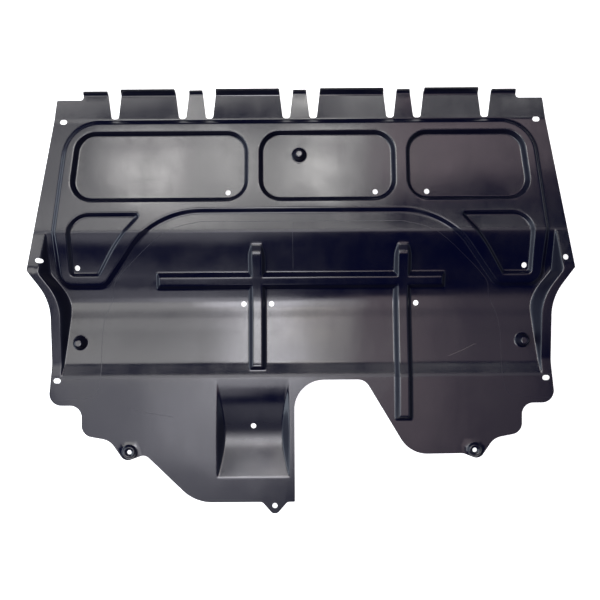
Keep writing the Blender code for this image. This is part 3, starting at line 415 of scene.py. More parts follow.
# %% [markdown]
# ## A height for every point
#
# The sheet has no undercuts, since it must come off its mould, so one height for each place in
# plan describes it fully. The heights go in a fine grid, one millimetre apart. First comes the
# profile of the panels along the car, and the features are added to it.
#
# Sharp heights with a blur give what the hot sheet does by itself: it bridges each inner corner
# of the mould and rounds each outer one. The long folds between the panels each have a blur of
# their own, because the mould was milled with another radius for each: sharp at the crease, wide
# at the deepest fold. Bevels on the mesh would need clean edge loops where many forms cross, and
# they fail there.

# %% Measure plan distances
def inside(px, py, loop):
    result = np.zeros(px.shape, dtype=bool)
    for (x0, y0), (x1, y1) in zip(loop, loop[1:] + loop[:1]):
        if y0 != y1:
            crosses = (y0 > py) != (y1 > py)
            result ^= crosses & (px < (x1 - x0) * (py - y0) / (y1 - y0) + x0)
    return result


def distance(px, py, loop):
    best = np.full(px.shape, 1e9)
    for (x0, y0), (x1, y1) in zip(loop, loop[1:] + loop[:1]):
        dx, dy = x1 - x0, y1 - y0
        along = np.clip(((px - x0) * dx + (py - y0) * dy) / max(dx * dx + dy * dy, 1e-18), 0, 1)
        away = (px - x0 - along * dx) ** 2 + (py - y0 - along * dy) ** 2
        best = np.minimum(best, away)
    return np.sqrt(best)


def drafted(px, py, outer_loop, inner_loop):
    """0 outside the outer loop, 1 inside the inner loop, and a straight slope between."""
    from_outer = distance(px, py, outer_loop)
    from_inner = distance(px, py, inner_loop)
    weight = from_outer / np.maximum(from_outer + from_inner, 1e-9)
    weight = np.where(inside(px, py, inner_loop), 1.0, weight)
    return np.where(inside(px, py, outer_loop), weight, 0.0)


def blurred(values, sigma, axis):
    """Values along one axis of a grid, each averaged with its neighbours in a bell curve."""
    reach = int(math.ceil(3 * sigma))
    kernel = np.exp(-0.5 * (np.arange(-reach, reach + 1) / sigma) ** 2)
    kernel /= kernel.sum()
    pad = [(reach, reach) if k == axis else (0, 0) for k in range(values.ndim)]
    wide = np.pad(values, pad, mode="edge")
    size = values.shape[axis]
    return sum(w * np.take(wide, np.arange(k, k + size), axis=axis)
               for k, w in enumerate(kernel))


# %% Grid of heights: panels along the car
STEP = 0.001
grid_x = np.arange(-485, 486) * STEP
grid_y = np.arange(-388, 389) * STEP
gx, gy = np.meshgrid(grid_x, grid_y)


def panel_profile(y):
    """Height of the panels with sharp folds: front panel, bulging ramp, back panel and band."""
    front_z = FOLD_Z + SLOPE * (FOLD_Y - np.clip(y, CREASE_Y, FOLD_Y))
    run_low, run_high = STEEP_Y - DEEP_Y, CREASE_Y - STEEP_Y
    ends = (RAMP_FOOT_SLOPE * run_low + RAMP_TOP_SLOPE * run_high) / 2
    steepest = 2 * (CREASE_Z - DEEP_Z - ends) / RAMP_LENGTH
    low = np.clip(y - DEEP_Y, 0.0, run_low)
    high = np.clip(y - STEEP_Y, 0.0, run_high)
    ramp_z = DEEP_Z + RAMP_FOOT_SLOPE * low
    ramp_z += (steepest - RAMP_FOOT_SLOPE) * low ** 2 / (2 * run_low)
    ramp_z += steepest * high - (steepest - RAMP_TOP_SLOPE) * high ** 2 / (2 * run_high)
    rear_z = np.interp(y, [BAND_FOLD_Y, CREST_FOLD_Y, DEEP_Y], [REAR_Z, CREST_Z, DEEP_Z])
    return np.where(y >= CREASE_Y, front_z, np.where(y >= DEEP_Y, ramp_z, rear_z))


def near_line(line_y, reach, fade):
    """1 within reach of a fold and 0 further off, so that each fold has a radius of its own."""
    return np.clip((reach + fade - np.abs(grid_y - line_y)) / fade, 0.0, 1.0)


# Each fold: where it is, its softness and shift in rows of the grid, and how far they hold.
PANEL_FOLDS = ((CREASE_Y, 0.5, 0, 0.008, 0.006), (DEEP_Y, 7.5, 2, 0.026, 0.016),
               (CREST_Y, 2.4, 0, 0.009, 0.004), (BAND_Y, 0.9, 0, 0.006, 0.004))
sharp = panel_profile(grid_y)
profile = blurred(sharp, 2.4, 0)
for line_y, sigma, shift, reach, fade in PANEL_FOLDS:
    share = near_line(line_y, reach, fade)
    profile = profile * (1 - share) + np.roll(blurred(sharp, sigma, 0), shift) * share
z = np.repeat(profile[:, None], len(grid_x), axis=1)
print("grid:", z.shape)

# %% Grid of heights: side walls
LIP_AHEAD, LIP_BEHIND, WALL_RUN = 0.0215, 0.0178, 0.36
arch_line = [p for p in rounded(arch + [(0.0, CORNER_Y, 0.0), (0.0, TIP_Y, 0.0)]) if p[0] > 0]
arch_line.sort(key=lambda p: p[1])


def wall_top(y):
    ahead = TIP_HALF + (FRONT_HALF - TIP_HALF) / (SHOULDER_Y - TIP_Y) * (y - TIP_Y) - LIP_AHEAD
    behind = np.interp(y, [p[1] for p in arch_line], [p[0] for p in arch_line]) - LIP_BEHIND
    return np.minimum(ahead, behind)


def lip_profile(y):
    return np.interp(y, [CREST_Y, TIP_Y, CREASE_Y], [REAR_Z, TIP_Z, CREASE_Z])


drop = np.maximum(lip_profile(grid_y) - sharp, 0.0)
top_x = wall_top(grid_y)[:, None]
foot_x = top_x - WALL_RUN * drop[:, None]
out = np.clip((np.abs(gx) - foot_x) / np.maximum(top_x - foot_x, 1e-6), 0.0, 1.0)
walled = (gy < CREASE_Y) & (gy > BAND_Y)
lip_z = blurred(lip_profile(grid_y), 3.0, 0)[:, None]
z = z + np.where(walled, out * (np.maximum(lip_z, z) - z), 0.0)
print("deepest wall in mm:", round(float(drop.max()) * 1000, 1))


# %% Grid of heights: frame, pockets, ribs and tunnel
def window(loop, margin=0.004):
    """Rows and columns of the grid around a loop."""
    xs, ys = [p[0] for p in loop], [p[1] for p in loop]
    cols = np.searchsorted(grid_x, [min(xs) - margin, max(xs) + margin])
    rows = np.searchsorted(grid_y, [min(ys) - margin, max(ys) + margin])
    return slice(*rows), slice(*cols)


for corners, runs, height in formed:
    rim, floor = rounded(corners), rounded(moved_inward(corners, runs))
    part = window(rim)
    z[part] += height * drafted(gx[part], gy[part], rim, floor)

rise = np.zeros_like(z)
for foot_loop, top_loop in rib_loops:
    part = window(foot_loop)
    rise[part] = np.maximum(rise[part], drafted(gx[part], gy[part], foot_loop, top_loop))
risen = blurred(np.clip((RIB_START_Y - 0.002 - grid_y) / 0.0135, 0.0, 1.0), 2.2, 0)
z += RIB_HEIGHT * rise * risen[:, None]

part = window(tunnel_rim)
depth = tunnel_depth(grid_y)
near = near_line(TUNNEL_FRONT_Y - TUNNEL_FALL - TUNNEL_FLOOR / 2, 0.028, 0.010)
depth = depth + (blurred(depth, 7.5, 0) - depth) * near
z[part] -= depth[part[0], None] * drafted(gx[part], gy[part], tunnel_rim, tunnel_foot)
print("tunnel depth in mm:", round(float(depth.max()) * 1000, 1))

# %% Grid of heights: bosses and the lips of the tabs
BOSS_HEIGHT, BOSS_FOOT, BOSS_RUN = 0.020, 0.0112, 0.004
LOW_LIP, HIGH_LIP, NARROW_TAB_DROP = 0.006, 0.012, 0.003
OUTER_TAB_INSET = 0.0015
for x, y in bosses:
    away = np.hypot(gx - x, gy - y)
    z += BOSS_HEIGHT * np.clip((BOSS_FOOT - away) / BOSS_RUN, 0.0, 1.0)
for s in (-1, 1):
    away = np.hypot(gx - s * EAR_HALF, gy - EAR_Y)
    z += np.interp(away, [0.004, 0.0075, 0.010, 0.0125], [0.002, 0.005, 0.005, 0.0])

across = np.abs(gx)
narrow = (across < NOTCHES[0]) | ((across > NOTCHES[1]) & (across < NOTCHES[2]))
outer_tab = across > NOTCHES[3]
edge_y = np.where(outer_tab, TAB_Y - OUTER_TAB_INSET, TAB_Y)
run = np.where(narrow | outer_tab, 0.003, 0.005)
lip = np.maximum((gy - edge_y + run) / run, 0.0) * np.where(narrow | outer_tab, LOW_LIP, HIGH_LIP)
z += lip - np.where(narrow, np.clip((gy - NOTCH_Y) / NOTCH_DEPTH, 0.0, 1.0) * NARROW_TAB_DROP, 0.0)
print("highest lip in mm:", round(float(lip[gy < TAB_Y].max()) * 1000, 1))

# %% Round every fold, and find the back of the sheet
FOLD_BLUR = 0.85
upper = blurred(blurred(z, FOLD_BLUR, 0), FOLD_BLUR, 1)

lower = np.full_like(upper, np.inf)
for i in range(-3, 4):
    for j in range(-3, 4):
        reach = SHEET ** 2 - (i * i + j * j) * STEP ** 2
        if reach >= 0:
            moved = np.roll(np.roll(upper, i, axis=0), j, axis=1)
            lower = np.minimum(lower, moved - math.sqrt(reach))
lower = blurred(blurred(lower, 0.6, 0), 0.6, 1)
print("lowest point of the back in mm:", round(float(lower[5:-5, 5:-5].min()) * 1000, 2))

# %% [markdown]
# ## Where the mesh needs points
#
# A plain grid of faces fine enough for the round folds would have a million of them, most on
# flat ground. Instead rows of points run along each fold, close together across it and far
# apart along it, and loose points fill the flat parts. A Delaunay triangulation joins them all,
# and it keeps the rows as edges.

# %% Rows of points along the folds
ROUND = (0.0007, 0.0015, 0.0031)      # from the middle of a fold to where it ends
lines = []


def spaced(line, longest=0.008):
    points = [line[0]]
    for (x0, y0), (x1, y1) in zip(line, line[1:]):
        parts = max(1, math.ceil(math.hypot(x1 - x0, y1 - y0) / longest))
        points += [(x0 + (x1 - x0) * k / parts, y0 + (y1 - y0) * k / parts)
                   for k in range(1, parts + 1)]
    return points


def closed(loop):
    return list(loop) + [loop[0]]


for corners, runs, _ in formed:
    spread = [[-d] * len(runs) for d in ROUND] + [[r + d for r in runs] for d in ROUND]
    spread += [[r * share for r in runs] for share in (0.0, 0.2, 0.5, 0.8, 1.0)]
    for moves in spread:
        lines.append(closed(rounded(moved_inward(corners, moves), 0.00012)))


def across_wall(run):
    """Distances of the rows over a wall of this run and the folds on both sides of it."""
    return ([-d for d in reversed(ROUND)] + [run * share for share in (0.0, 0.2, 0.5, 0.8, 1.0)]
            + [run + d for d in ROUND])


rib_spread = across_wall(RIB_RUN)
for x, end_y in RIBS:
    for s in (-1, 1):
        for d in rib_spread:
            lines.append([(x + s * (RIB_HALF_TOP + d), end_y - 0.004),
                          (x + s * (RIB_HALF_TOP + d), full_y),
                          (x + s * (RIB_HALF_TOP + d * 0.35), RIB_START_Y + 0.002)])
    for k in range(8):
        y = RIB_START_Y + 0.004 - k * 0.004
        lines.append([(x - half_foot, y), (x + half_foot, y)])
    for d in rib_spread:
        lines.append([(x - half_foot - 0.003, end_y + RIB_RUN - d),
                      (x + half_foot + 0.003, end_y + RIB_RUN - d)])
for s, run in ((-1, CROSS_REAR_RUN), (1, CROSS_FRONT_RUN)):
    for d in across_wall(run):
        y = CROSS_RIB_Y + s * (CROSS_HALF_TOP + d)
        lines.append([(-CROSS_END - 0.003, y), (CROSS_END + 0.003, y)])
for s in (-1, 1):
    for d in rib_spread:
        x = s * (CROSS_END - RIB_RUN + d)
        lines.append([(x, y0 - CROSS_REAR_RUN - 0.003), (x, y1 + CROSS_FRONT_RUN + 0.003)])
print("rows along frame, pockets and ribs:", len(lines))

# %% Rows along panels and walls
wide = TIP_HALF + 0.02
for y, step in ((FOLD_Y, 0.0016), (CREASE_Y, 0.0008), (DEEP_Y, 0.0044),
                (CREST_Y, 0.0018), (BAND_Y, 0.0012)):
    lines += [[(-wide, y + k * step), (wide, y + k * step)] for k in range(-5, 6)]
for k in range(1, 9):
    y = DEEP_Y + 0.024 + (STEEP_Y - DEEP_Y - 0.024) * k / 8
    lines.append([(-wide, y), (wide, y)])
    y = STEEP_Y + (CREASE_Y - 0.005 - STEEP_Y) * k / 8
    lines.append([(-wide, y), (wide, y)])

wall_ys = np.linspace(BAND_Y, CREASE_Y, 45)
wall_drop = np.maximum(lip_profile(wall_ys) - panel_profile(wall_ys), 0.0)
for share, extra in ((0, 0.0050), (0, 0.0031), (0, 0.0015), (0, 0.0007), (0, 0), (0.2, 0),
                     (0.5, 0), (0.8, 0), (1, 0), (1, -0.0007), (1, -0.0015), (1, -0.0031),
                     (1, -0.0050)):
    xs = wall_top(wall_ys) - WALL_RUN * wall_drop * share + extra
    for s in (-1, 1):
        lines.append([(s * float(x), float(y)) for x, y in zip(xs, wall_ys)])
print("rows with panels and walls:", len(lines))

# %% Rows along tunnel, bosses and tabs
both_ways = [-d for d in reversed(ROUND)] + [0.0] + list(ROUND)
for d in both_ways:
    lines += [[(x, tunnel_rear), (x, BAND_Y)] for x in (tunnel_left + d, tunnel_right - d)]
for share, extra in ((0.3, 0), (0.55, 0), (0.8, 0), (1, 0), (1, 0.0007), (1, 0.0015), (1, 0.0031)):
    for s in (-1, 1):
        lines.append([(TUNNEL_X + s * (TUNNEL_HALF - run_here * share - extra), y)
                      for y, run_here in zip(tunnel_rows, tunnel_runs)])
cross_rows = tunnel_rows + [y + d for d in both_ways if d for y in (TUNNEL_FRONT_Y, tunnel_rear)]
lines += [[(tunnel_left, y), (tunnel_right, y)] for y in cross_rows]

for x, y in bosses:
    lines += [closed(circle(x, y, r)) for r in (0.002, 0.004, 0.0055, 0.0064, 0.0072, 0.008, 0.009,
                                                0.010, 0.0108, 0.0116, 0.0126, 0.0142)]
for s in (-1, 1):
    lines += [closed(circle(s * EAR_HALF, EAR_Y, r))
              for r in (0.0052, 0.0064, 0.0075, 0.0087, 0.0100, 0.0112, 0.0124, 0.0139)]
n = (0.0,) + NOTCHES + (OUTER_TAB_EDGE,)
for s in (-1, 1):
    for k in range(5):
        run = 0.005 if k in (1, 3) else 0.003
        edge = TAB_Y - (OUTER_TAB_INSET if k == 4 else 0.0)
        for d in (0.33, 0.67, 1.0, 1.35, 1.8):
            lines.append([(s * n[k], edge - run * d), (s * n[k + 1], edge - run * d)])

print("rows with tunnel, bosses and tabs:", len(lines))

# %% Lines scored into the face: their points, and how much they show
route = [(0.175, 0.138), (0.233, 0.1215), (0.290, 0.074), (0.326, 0.035), (0.332, 0.006),
         (0.349, -0.044), (0.351, -0.128), (0.357, -0.155), (0.372, -0.168), (0.433, -0.172)]


def smooth(points, parts=6):
    """A curve through the points."""
    ends = [points[0]] + list(points) + [points[-1]]
    result = []
    for k in range(1, len(ends) - 2):
        for n in range(parts):
            t = n / parts
            result.append(tuple(
                0.5 * (2 * b + (c - a) * t + (2 * a - 5 * b + 4 * c - d) * t * t
                       + (3 * b - a - 3 * c + d) * t ** 3)
                for a, b, c, d in zip(*ends[k - 1:k + 3])))
    return result + [points[-1]]


side_route = smooth(route)
scored = [([(-x, y) for x, y in reversed(side_route)] + side_route, 0.45),
          ([(-0.014, 0.136), (-0.0135, 0.055)], 0.35),
          ([(-0.2942, -0.1889), (-0.262, -0.1960), (-0.2258, -0.2020)], 0.6),
          ([(0.2606, -0.0979), (0.2835, -0.0885), (0.3034, -0.0787)], -0.35)]
SCORE_HALF = 0.0008
for line, _ in scored:
    for d in (-SCORE_HALF, 0.0, SCORE_HALF):
        moved = []
        for k, (x, y) in enumerate(line):
            (ax, ay), (bx, by) = line[max(k - 1, 0)], line[min(k + 1, len(line) - 1)]
            ux, uy = unit(bx - ax, by - ay)
            moved.append((x - uy * d, y + ux * d))
        lines.append(moved)
print("rows in all:", len(lines))


# %% Loose points between the rows, and the triangulation
def rows_to_points(all_lines, extra_points):
    """Points and edges of all the rows, with points in the same place made one."""
    points, edges = [], []
    for line in all_lines:
        first = len(points)
        points += line
        edges += [(k, k + 1) for k in range(first, len(points) - 1)]
    points += extra_points
    tree = KDTree(len(points))
    for k, (x, y) in enumerate(points):
        tree.insert((x, y, 0.0), k)
    tree.balance()
    first_here = list(range(len(points)))
    for k, (x, y) in enumerate(points):
        if first_here[k] == k:
            for _, other, _ in tree.find_range((x, y, 0.0), 0.00025):
                if other > k and first_here[other] == other:
                    first_here[other] = k
    used = sorted(set(first_here))
    number = {old: new for new, old in enumerate(used)}
    edges = {(number[first_here[a]], number[first_here[b]]) for a, b in edges}
    return [Vector(points[k]) for k in used], [e for e in edges if e[0] != e[1]]


edge_lines = [spaced(closed(loop), 0.004) for loop in [outline] + holes]
inner_lines = [spaced(line) for line in lines]
taken = KDTree(sum(len(line) for line in edge_lines + inner_lines))
for line in edge_lines + inner_lines:
    for x, y in line:
        taken.insert((x, y, 0.0), 0)
taken.balance()
loose = []
for j in range(-34, 35):
    for i in range(-43, 44):
        spot = ((i + (0.25 if j % 2 else -0.25)) * 0.011, j * 0.011)
        if taken.find((spot[0], spot[1], 0.0))[2] > 0.0055:
            loose.append(spot)
points, edges = rows_to_points(edge_lines + inner_lines, loose)
flat, _, faces, _, _, _ = delaunay_2d_cdt(points, edges, [], 0, 0.0001, False)
xy = np.array([(v.x, v.y) for v in flat])
tris = np.array([f for f in faces if len(f) == 3])
centre = xy[tris].mean(axis=1)
kept = inside(centre[:, 0], centre[:, 1], outline)
for hole in holes:
    kept &= ~inside(centre[:, 0], centre[:, 1], hole)
tris = tris[kept]
a, b, c = xy[tris[:, 0]], xy[tris[:, 1]], xy[tris[:, 2]]
area = (b[:, 0] - a[:, 0]) * (c[:, 1] - a[:, 1]) - (b[:, 1] - a[:, 1]) * (c[:, 0] - a[:, 0])
tris = np.where((area < 0)[:, None], tris[:, ::-1], tris)[np.abs(area) > 1e-12]
used, tris = np.unique(tris, return_inverse=True)
tris = tris.reshape(-1, 3)
xy = xy[used]
print("points:", len(xy), "triangles of one side:", len(tris))

# %% [markdown]
# ## From a flat net to a sheet with two sides
#
# Each point takes its height from the grid. The back is the same net, three millimetres deeper,
# measured square to the surface as on a real sheet. The light on the plastic depends on the
# slopes far more than on the heights, so the slopes of the grid are written to the mesh as its
# own normals, and the long triangles don't show. Twice as many triangles would do the same, at
# twice the cost.

# %% Read heights and slopes from the grid
def read_grid(grid, px, py):
    fx = np.clip((px - grid_x[0]) / STEP, 0, len(grid_x) - 1.001)
    fy = np.clip((py - grid_y[0]) / STEP, 0, len(grid_y) - 1.001)
    i, j = fx.astype(int), fy.astype(int)
    u, v = fx - i, fy - j
    return ((grid[j, i] * (1 - u) + grid[j, i + 1] * u) * (1 - v)
            + (grid[j + 1, i] * (1 - u) + grid[j + 1, i + 1] * u) * v)


def surface(grid, px, py):
    """Height and upward normal at each point."""
    slope_y, slope_x = np.gradient(grid, STEP)
    height = read_grid(grid, px, py)
    normal = np.stack([-read_grid(slope_x, px, py), -read_grid(slope_y, px, py),
                       np.ones(len(px))], axis=1)
    return height, normal / np.linalg.norm(normal, axis=1)[:, None]


top_z, top_n = surface(upper, xy[:, 0], xy[:, 1])
low_z, low_n = surface(lower, xy[:, 0], xy[:, 1])
top = np.column_stack([xy, top_z])
square = top - top_n * SHEET
blend = np.clip((xy[:, 1] - (TAB_Y - 0.020)) / 0.008, 0.0, 1.0)[:, None]
low = np.column_stack([xy, low_z]) * (1 - blend) + square * blend
low_n = low_n * (1 - blend) + top_n * blend
settle = low[:, 2].min() - cad_box[0][2]
top[:, 2] -= settle
low[:, 2] -= settle
print("set down onto the floor by mm:", round(float(settle) * 1000, 2))

# %% Close the trimmed edge
directed = np.concatenate([tris[:, [0, 1]], tris[:, [1, 2]], tris[:, [2, 0]]])
pairs = set(map(tuple, directed))
rim_edges = [(p, q) for p, q in pairs if (q, p) not in pairs]
rim_edges.sort()
rim_points = sorted({p for edge in rim_edges for p in edge})
place = {p: k for k, p in enumerate(rim_points)}
outward = np.zeros((len(rim_points), 2))
for p, q in rim_edges:
    dx, dy = xy[q] - xy[p]
    size = math.hypot(dx, dy)
    for k in (p, q):
        outward[place[k]] += (dy / size, -dx / size)
outward /= np.maximum(np.linalg.norm(outward, axis=1), 1e-9)[:, None]

BREAK = 0.00035
rim = np.array(rim_points)
shoulder_top = top[rim].copy()
shoulder_top[:, 2] -= BREAK
shoulder_low = low[rim].copy()
shoulder_low[:, 2] += BREAK
top[rim, :2] -= outward * BREAK
low[rim, :2] -= outward * BREAK
print("edges of the cut:", len(rim_edges))

# %% Build the mesh
count, edge_count = len(top), len(rim)
verts = np.concatenate([top, low, shoulder_top, shoulder_low])
side_n = np.column_stack([outward, np.zeros(edge_count)])
normals = np.concatenate([top_n, -low_n, side_n, side_n])
faces = [tuple(map(int, f)) for f in tris]
faces += [tuple(int(k) + count for k in f[::-1]) for f in tris]
rings = ([int(k) for k in rim], [2 * count + k for k in range(edge_count)],
         [2 * count + edge_count + k for k in range(edge_count)], [int(k) + count for k in rim])
for p, q in rim_edges:
    i, j = place[p], place[q]
    for upper_ring, lower_ring in zip(rings, rings[1:]):
        faces.append((upper_ring[i], lower_ring[i], lower_ring[j], upper_ring[j]))

mesh = bpy.data.meshes.new("formed_sheet")
mesh.from_pydata(verts.tolist(), [], faces, shade_flat=False)
mesh.normals_split_custom_set_from_vertices(normals.tolist())
sheet = bpy.data.objects.new("formed_sheet", mesh)
bpy.context.scene.collection.objects.link(sheet)
print("faces of the sheet:", len(mesh.polygons))

# %% [markdown]
# ## Wear
#
# The sheet is stretched most and dragged over the mould at the front ends of the long ribs, at
# the crease, at the rear of the band and at the bottom of the tunnel, and it comes out dull
# there. A few fine lines were scored into it, and one was rubbed pale. All of it is one number
# for each point, above 0 for dull and below 0 for pale. A painted image would do the same, but it
# would need a flat layout of the surface.

# %% Dull places, scored lines and a pale one
def bell(away, width):
    return np.exp(-(away / width) ** 2)


wear = inside(xy[:, 0], xy[:, 1], tunnel_rim) * 0.4 * bell(xy[:, 1] - TUNNEL_FRONT_Y + 0.098, 0.022)
for x, _ in RIBS:
    on_rib = np.abs(xy[:, 0] - x) < RIB_HALF_TOP + 0.0005
    wear = np.maximum(wear, on_rib * 0.5 * bell(xy[:, 1] - RIB_START_Y + 0.008, 0.008))
for line_y in (CREASE_Y, BAND_FOLD_Y):
    wear = np.maximum(wear, 0.5 * bell(xy[:, 1] - line_y, 0.003))
for line, strength in scored:
    there_and_back = list(line) + list(line)[-2:0:-1]
    wear[distance(xy[:, 0], xy[:, 1], there_and_back) < 0.0003] = strength
wear = np.concatenate([wear, np.zeros(len(verts) - count)])
mesh.attributes.new("wear", "FLOAT", "POINT").data.foreach_set("value", wear)
print("worn points:", int((np.abs(wear) > 0.01).sum()))

# %% [markdown]
# ## Black plastic
#
# Plastic of this kind is nearly black, and what it shows is a reflection, broken up by a fine
# grain and by the slow waves of a sheet that cooled unevenly. Bump does for these, as no wave is
# deeper than the sheet's own surface finish. The roughness carries the rest: a haze of dust, the
# dull steep walls and the wear. A clear coat over a rough base gives the same look and is slower.

# %% Material
plastic = bpy.data.materials.new("black_plastic_sheet")
plastic.use_nodes = True
nodes, links = plastic.node_tree.nodes, plastic.node_tree.links
shader = nodes["Principled BSDF"]
place_on_part = nodes.new("ShaderNodeTexCoord")


def noise(scale, detail, stretch=(1.0, 1.0, 1.0), roughness=0.5):
    """A cloudy pattern, with its features about 1 / scale metres wide."""
    mapping = nodes.new("ShaderNodeMapping")
    mapping.inputs["Scale"].default_value = stretch
    links.new(place_on_part.outputs["Object"], mapping.inputs["Vector"])
    texture = nodes.new("ShaderNodeTexNoise")
    texture.inputs["Scale"].default_value = scale
    texture.inputs["Detail"].default_value = detail
    texture.inputs["Roughness"].default_value = roughness
    links.new(mapping.outputs["Vector"], texture.inputs["Vector"])
    return texture.outputs["Fac"]


def math_node(operation, a, b=0.0, c=0.0):
    node = nodes.new("ShaderNodeMath")
    node.operation = operation
    for socket, value in zip(node.inputs, (a, b, c)):
        if isinstance(value, (int, float)):
            socket.default_value = value
        else:
            links.new(value, socket)
    return node.outputs["Value"]


def spread(value, low, high, to_low, to_high):
    """The value, stretched from one range to another and held inside it."""
    node = nodes.new("ShaderNodeMapRange")
    links.new(value, node.inputs["Value"])
    for name, number in zip(("From Min", "From Max", "To Min", "To Max"),
                            (low, high, to_low, to_high)):
        node.inputs[name].default_value = number
    return node.outputs["Result"]


# Waves of the cooled sheet, ripples, and the grain of the mould.
waves = math_node("MULTIPLY", noise(7.0, 1.0), 0.0014)
ripples = math_node("MULTIPLY_ADD", noise(30.0, 2.0, (1.0, 0.45, 1.0)), 0.00013, waves)
relief = math_node("MULTIPLY_ADD", noise(1400.0, 1.0), 0.000020, ripples)
bump = nodes.new("ShaderNodeBump")
bump.inputs["Distance"].default_value = 1.0
links.new(relief, bump.inputs["Height"])
links.new(bump.outputs["Normal"], shader.inputs["Normal"])

# A thin haze of dust and rub marks, in clouds and in long faint streaks.
clouds = spread(noise(16.0, 6.0, roughness=0.62), 0.35, 0.75, 0.0, 1.0)
streaks = spread(noise(55.0, 4.0, (1.0, 0.12, 1.0)), 0.45, 0.8, 0.0, 1.0)
haze = math_node("MULTIPLY_ADD", streaks, 0.35, clouds)

# Steep walls dragged along the mould as the sheet was drawn off, and came out duller.
face = nodes.new("ShaderNodeSeparateXYZ")
links.new(place_on_part.outputs["Normal"], face.inputs["Vector"])
steep = spread(math_node("ABSOLUTE", face.outputs["Z"]), 0.5, 0.92, 1.0, 0.0)

worn = nodes.new("ShaderNodeAttribute")
worn.attribute_name = "wear"
dull = math_node("MAXIMUM", worn.outputs["Fac"], 0.0)
rubbed = math_node("MAXIMUM", math_node("MULTIPLY", worn.outputs["Fac"], -1.0), 0.0)


def mixed(factor, first, second):
    """One colour fading into another. A colour is given as a value or as a socket."""
    node = nodes.new("ShaderNodeMix")
    node.data_type = "RGBA"
    links.new(factor, node.inputs[0])
    for socket, colour in ((node.inputs[6], first), (node.inputs[7], second)):
        if isinstance(colour, tuple):
            socket.default_value = colour
        else:
            links.new(colour, socket)
    return node.outputs[2]


tone = mixed(haze, (0.0006, 0.0010, 0.0098, 1.0), (0.0026, 0.0029, 0.0108, 1.0))
links.new(mixed(rubbed, tone, (0.16, 0.15, 0.14, 1.0)), shader.inputs["Base Color"])

rough = math_node("MULTIPLY_ADD", haze, 0.08, 0.11)
rough = math_node("MULTIPLY_ADD", steep, 0.30, rough)
links.new(math_node("MULTIPLY_ADD", dull, 0.5, rough), shader.inputs["Roughness"])
sheet.data.materials.append(plastic)
print("nodes in the material:", len(nodes))

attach(sheet, "root")
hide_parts("splash_shield")
print("riding on the root body")

# %% [markdown]
# ## Studio
#
# The floor is plain white paper. Black plastic shows the room over it and hardly any light of its
# own, so the light is a ceiling of large soft panels at 2.3 m, each where the flat parts of the
# sheet mirror it towards the camera: the panels at negative Y show in the rear half, those beyond
# 0.8 m in the front panel, and the gap between them makes the dark band. Cool ones hang to the
# left and warm ones to the right. Two tall soft panels at the sides light the walls. One bright
# sky would be simpler, but the sheet would then be an even grey.

# %% Floor
floor_mesh = bpy.data.meshes.new("studio_floor")
floor_mesh.from_pydata([(-6, -6, 0), (6, -6, 0), (6, 6, 0), (-6, 6, 0)], [], [(0, 1, 2, 3)])
floor = bpy.data.objects.new("studio_floor", floor_mesh)
bpy.context.scene.collection.objects.link(floor)
floor.location.z = cad_box[0][2] - 0.0002
paper = bpy.data.materials.new("white_paper")
paper.use_nodes = True
paper_shader = paper.node_tree.nodes["Principled BSDF"]
paper_shader.inputs["Base Color"].default_value = (0.9, 0.9, 0.9, 1.0)
paper_shader.inputs["Roughness"].default_value = 0.9
paper_shader.inputs["Emission Color"].default_value = (1, 1, 1, 1)
paper_shader.inputs["Emission Strength"].default_value = 0.8
floor.data.materials.append(paper)

# %% Lights
world = bpy.data.worlds.new("studio")
world.use_nodes = True
world.node_tree.nodes["Background"].inputs["Color"].default_value = (0.011, 0.014, 0.036, 1)
bpy.context.scene.world = world


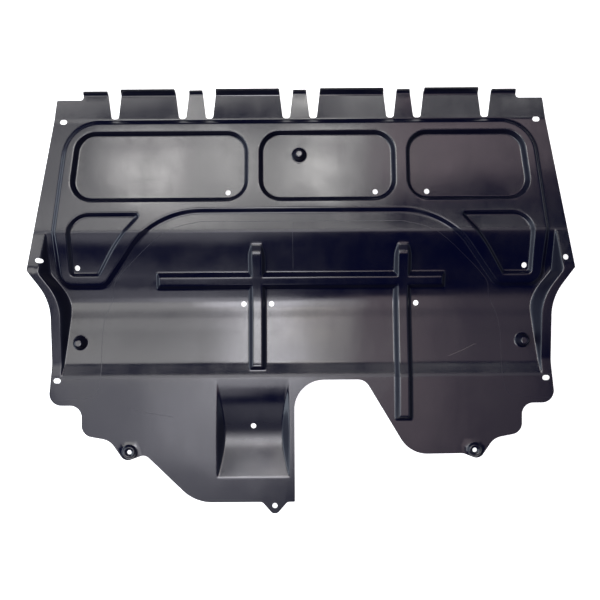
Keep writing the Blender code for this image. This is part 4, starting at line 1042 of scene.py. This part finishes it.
CEILING = 2.3
WARM, CREAM, PLAIN, COOL = (1, 0.82, 0.84), (1, 0.91, 0.83), (1, 0.985, 0.955), (0.95, 0.94, 1)
SKY = (0.80, 0.90, 1)
BOXES = {  # from and to in X, from and to in Y, how bright, and the colour
    "rear_left": (-1.35, -0.40, -0.30, 0.54, 3.6, PLAIN),
    "rear_left_middle": (-0.40, -0.12, 0.30, 0.53, 3.4, PLAIN),
    "rear_left_bright": (-0.42, 0.00, -0.33, 0.30, 9.8, COOL),
    "rear_middle": (-0.12, 0.20, 0.30, 0.56, 3.3, PLAIN),
    "rear_middle_bright": (0.00, 0.20, -0.30, 0.30, 4.6, PLAIN),
    "rear_left_end": (-0.65, -0.03, -0.75, -0.33, 3.8, COOL),
    "rear_middle_end": (-0.03, 0.20, -0.55, -0.30, 3.2, COOL),
    "rear_far_left_end": (-1.10, -0.65, -0.75, -0.30, 2.0, COOL),
    "middle": (-0.07, 0.17, 0.42, 0.56, 5.8, CREAM),
    "middle_left": (-0.31, -0.05, 0.33, 0.53, 8.0, COOL),
    "front_far_left": (-1.40, -0.95, 1.05, 1.60, 2.2, PLAIN),
    "front_edge_left": (-1.40, -0.95, 0.79, 1.05, 3.4, PLAIN),
    "front_left": (-0.95, -0.05, 0.885, 1.60, 3.6, PLAIN),
    "front_middle": (-0.05, 0.35, 0.98, 1.12, 1.2, PLAIN),
    "front_middle_far": (-0.05, 0.35, 1.12, 1.60, 3.6, PLAIN),
    "front_right": (0.35, 0.75, 1.20, 1.60, 2.4, WARM),
    "front_far_right": (0.75, 1.16, 1.26, 1.70, 1.8, WARM),
    "front_right_end": (1.16, 1.32, 1.30, 1.70, 0.9, WARM),
    "front_edge": (0.10, 0.40, 0.84, 0.95, 6.2, PLAIN),
    "front_edge_right": (0.40, 1.10, 0.83, 0.93, 3.5, PLAIN),
    "glow_left": (-0.85, -0.55, 1.16, 1.38, 10.0, PLAIN),
    "glow_left_middle": (-0.42, -0.25, 1.22, 1.42, 7.0, PLAIN),
    "glow_middle": (-0.05, 0.20, 1.15, 1.40, 8.5, PLAIN),
    "glow_low": (-0.62, -0.36, 0.98, 1.08, 3.6, PLAIN),
    "rear_right": (0.20, 0.65, -0.70, 0.56, 1.35, WARM),
    "rear_far_right": (0.65, 1.10, -0.50, 0.56, 0.65, WARM),
    "rear_far_right_end": (0.65, 1.10, -0.80, -0.50, 0.55, WARM),
    "far_rear": (-1.20, -0.45, -1.05, -0.75, 1.35, COOL),
    "far_rear_middle": (-0.45, -0.20, -1.05, -0.75, 1.3, COOL),
    "far_rear_end": (-0.20, 0.00, -0.92, -0.75, 0.7, COOL),
    "beyond": (-0.42, 0.00, -2.90, -1.38, 0.85, COOL),
}


def softbox(name, size, power, colour, place_at, turned=(0.0, 0.0, 0.0)):
    light = bpy.data.lights.new(name, "AREA")
    light.shape = "RECTANGLE"
    light.size, light.size_y = size
    light.energy = power
    light.color = colour
    lamp = bpy.data.objects.new(name, light)
    lamp.location = place_at
    lamp.rotation_euler = turned
    bpy.context.scene.collection.objects.link(lamp)


for k, (name, (x0, x1, y0, y1, bright, colour)) in enumerate(BOXES.items()):
    softbox(name, (x1 - x0, y1 - y0), 4 * bright * (x1 - x0) * (y1 - y0), colour,
            ((x0 + x1) / 2, (y0 + y1) / 2, CEILING - 0.005 * k))
for side, bright in ((-1, 2.6), (1, 0.3)):
    softbox("side_window", (2.2, 3.0), 4 * bright * 2.2 * 3.0, SKY, (side * 2.5, 0.0, 1.25),
            (0.0, side * math.radians(63), 0.0))

# %% Camera
camera_data = bpy.data.cameras.new("camera")
camera_data.lens = 50
camera_data.sensor_width = 36
camera = bpy.data.objects.new("camera", camera_data)
camera.location = (-0.0017, 0.001, 1.4775)
camera.rotation_euler = (0, 0, math.radians(-0.4))
bpy.context.scene.collection.objects.link(camera)
bpy.context.scene.camera = camera
bpy.context.scene.view_settings.view_transform = "Standard"

# %% [markdown]
# ## Finish
#
# The scene is brought up to date once more at the end.

# %% Finish
bpy.context.view_layer.update()
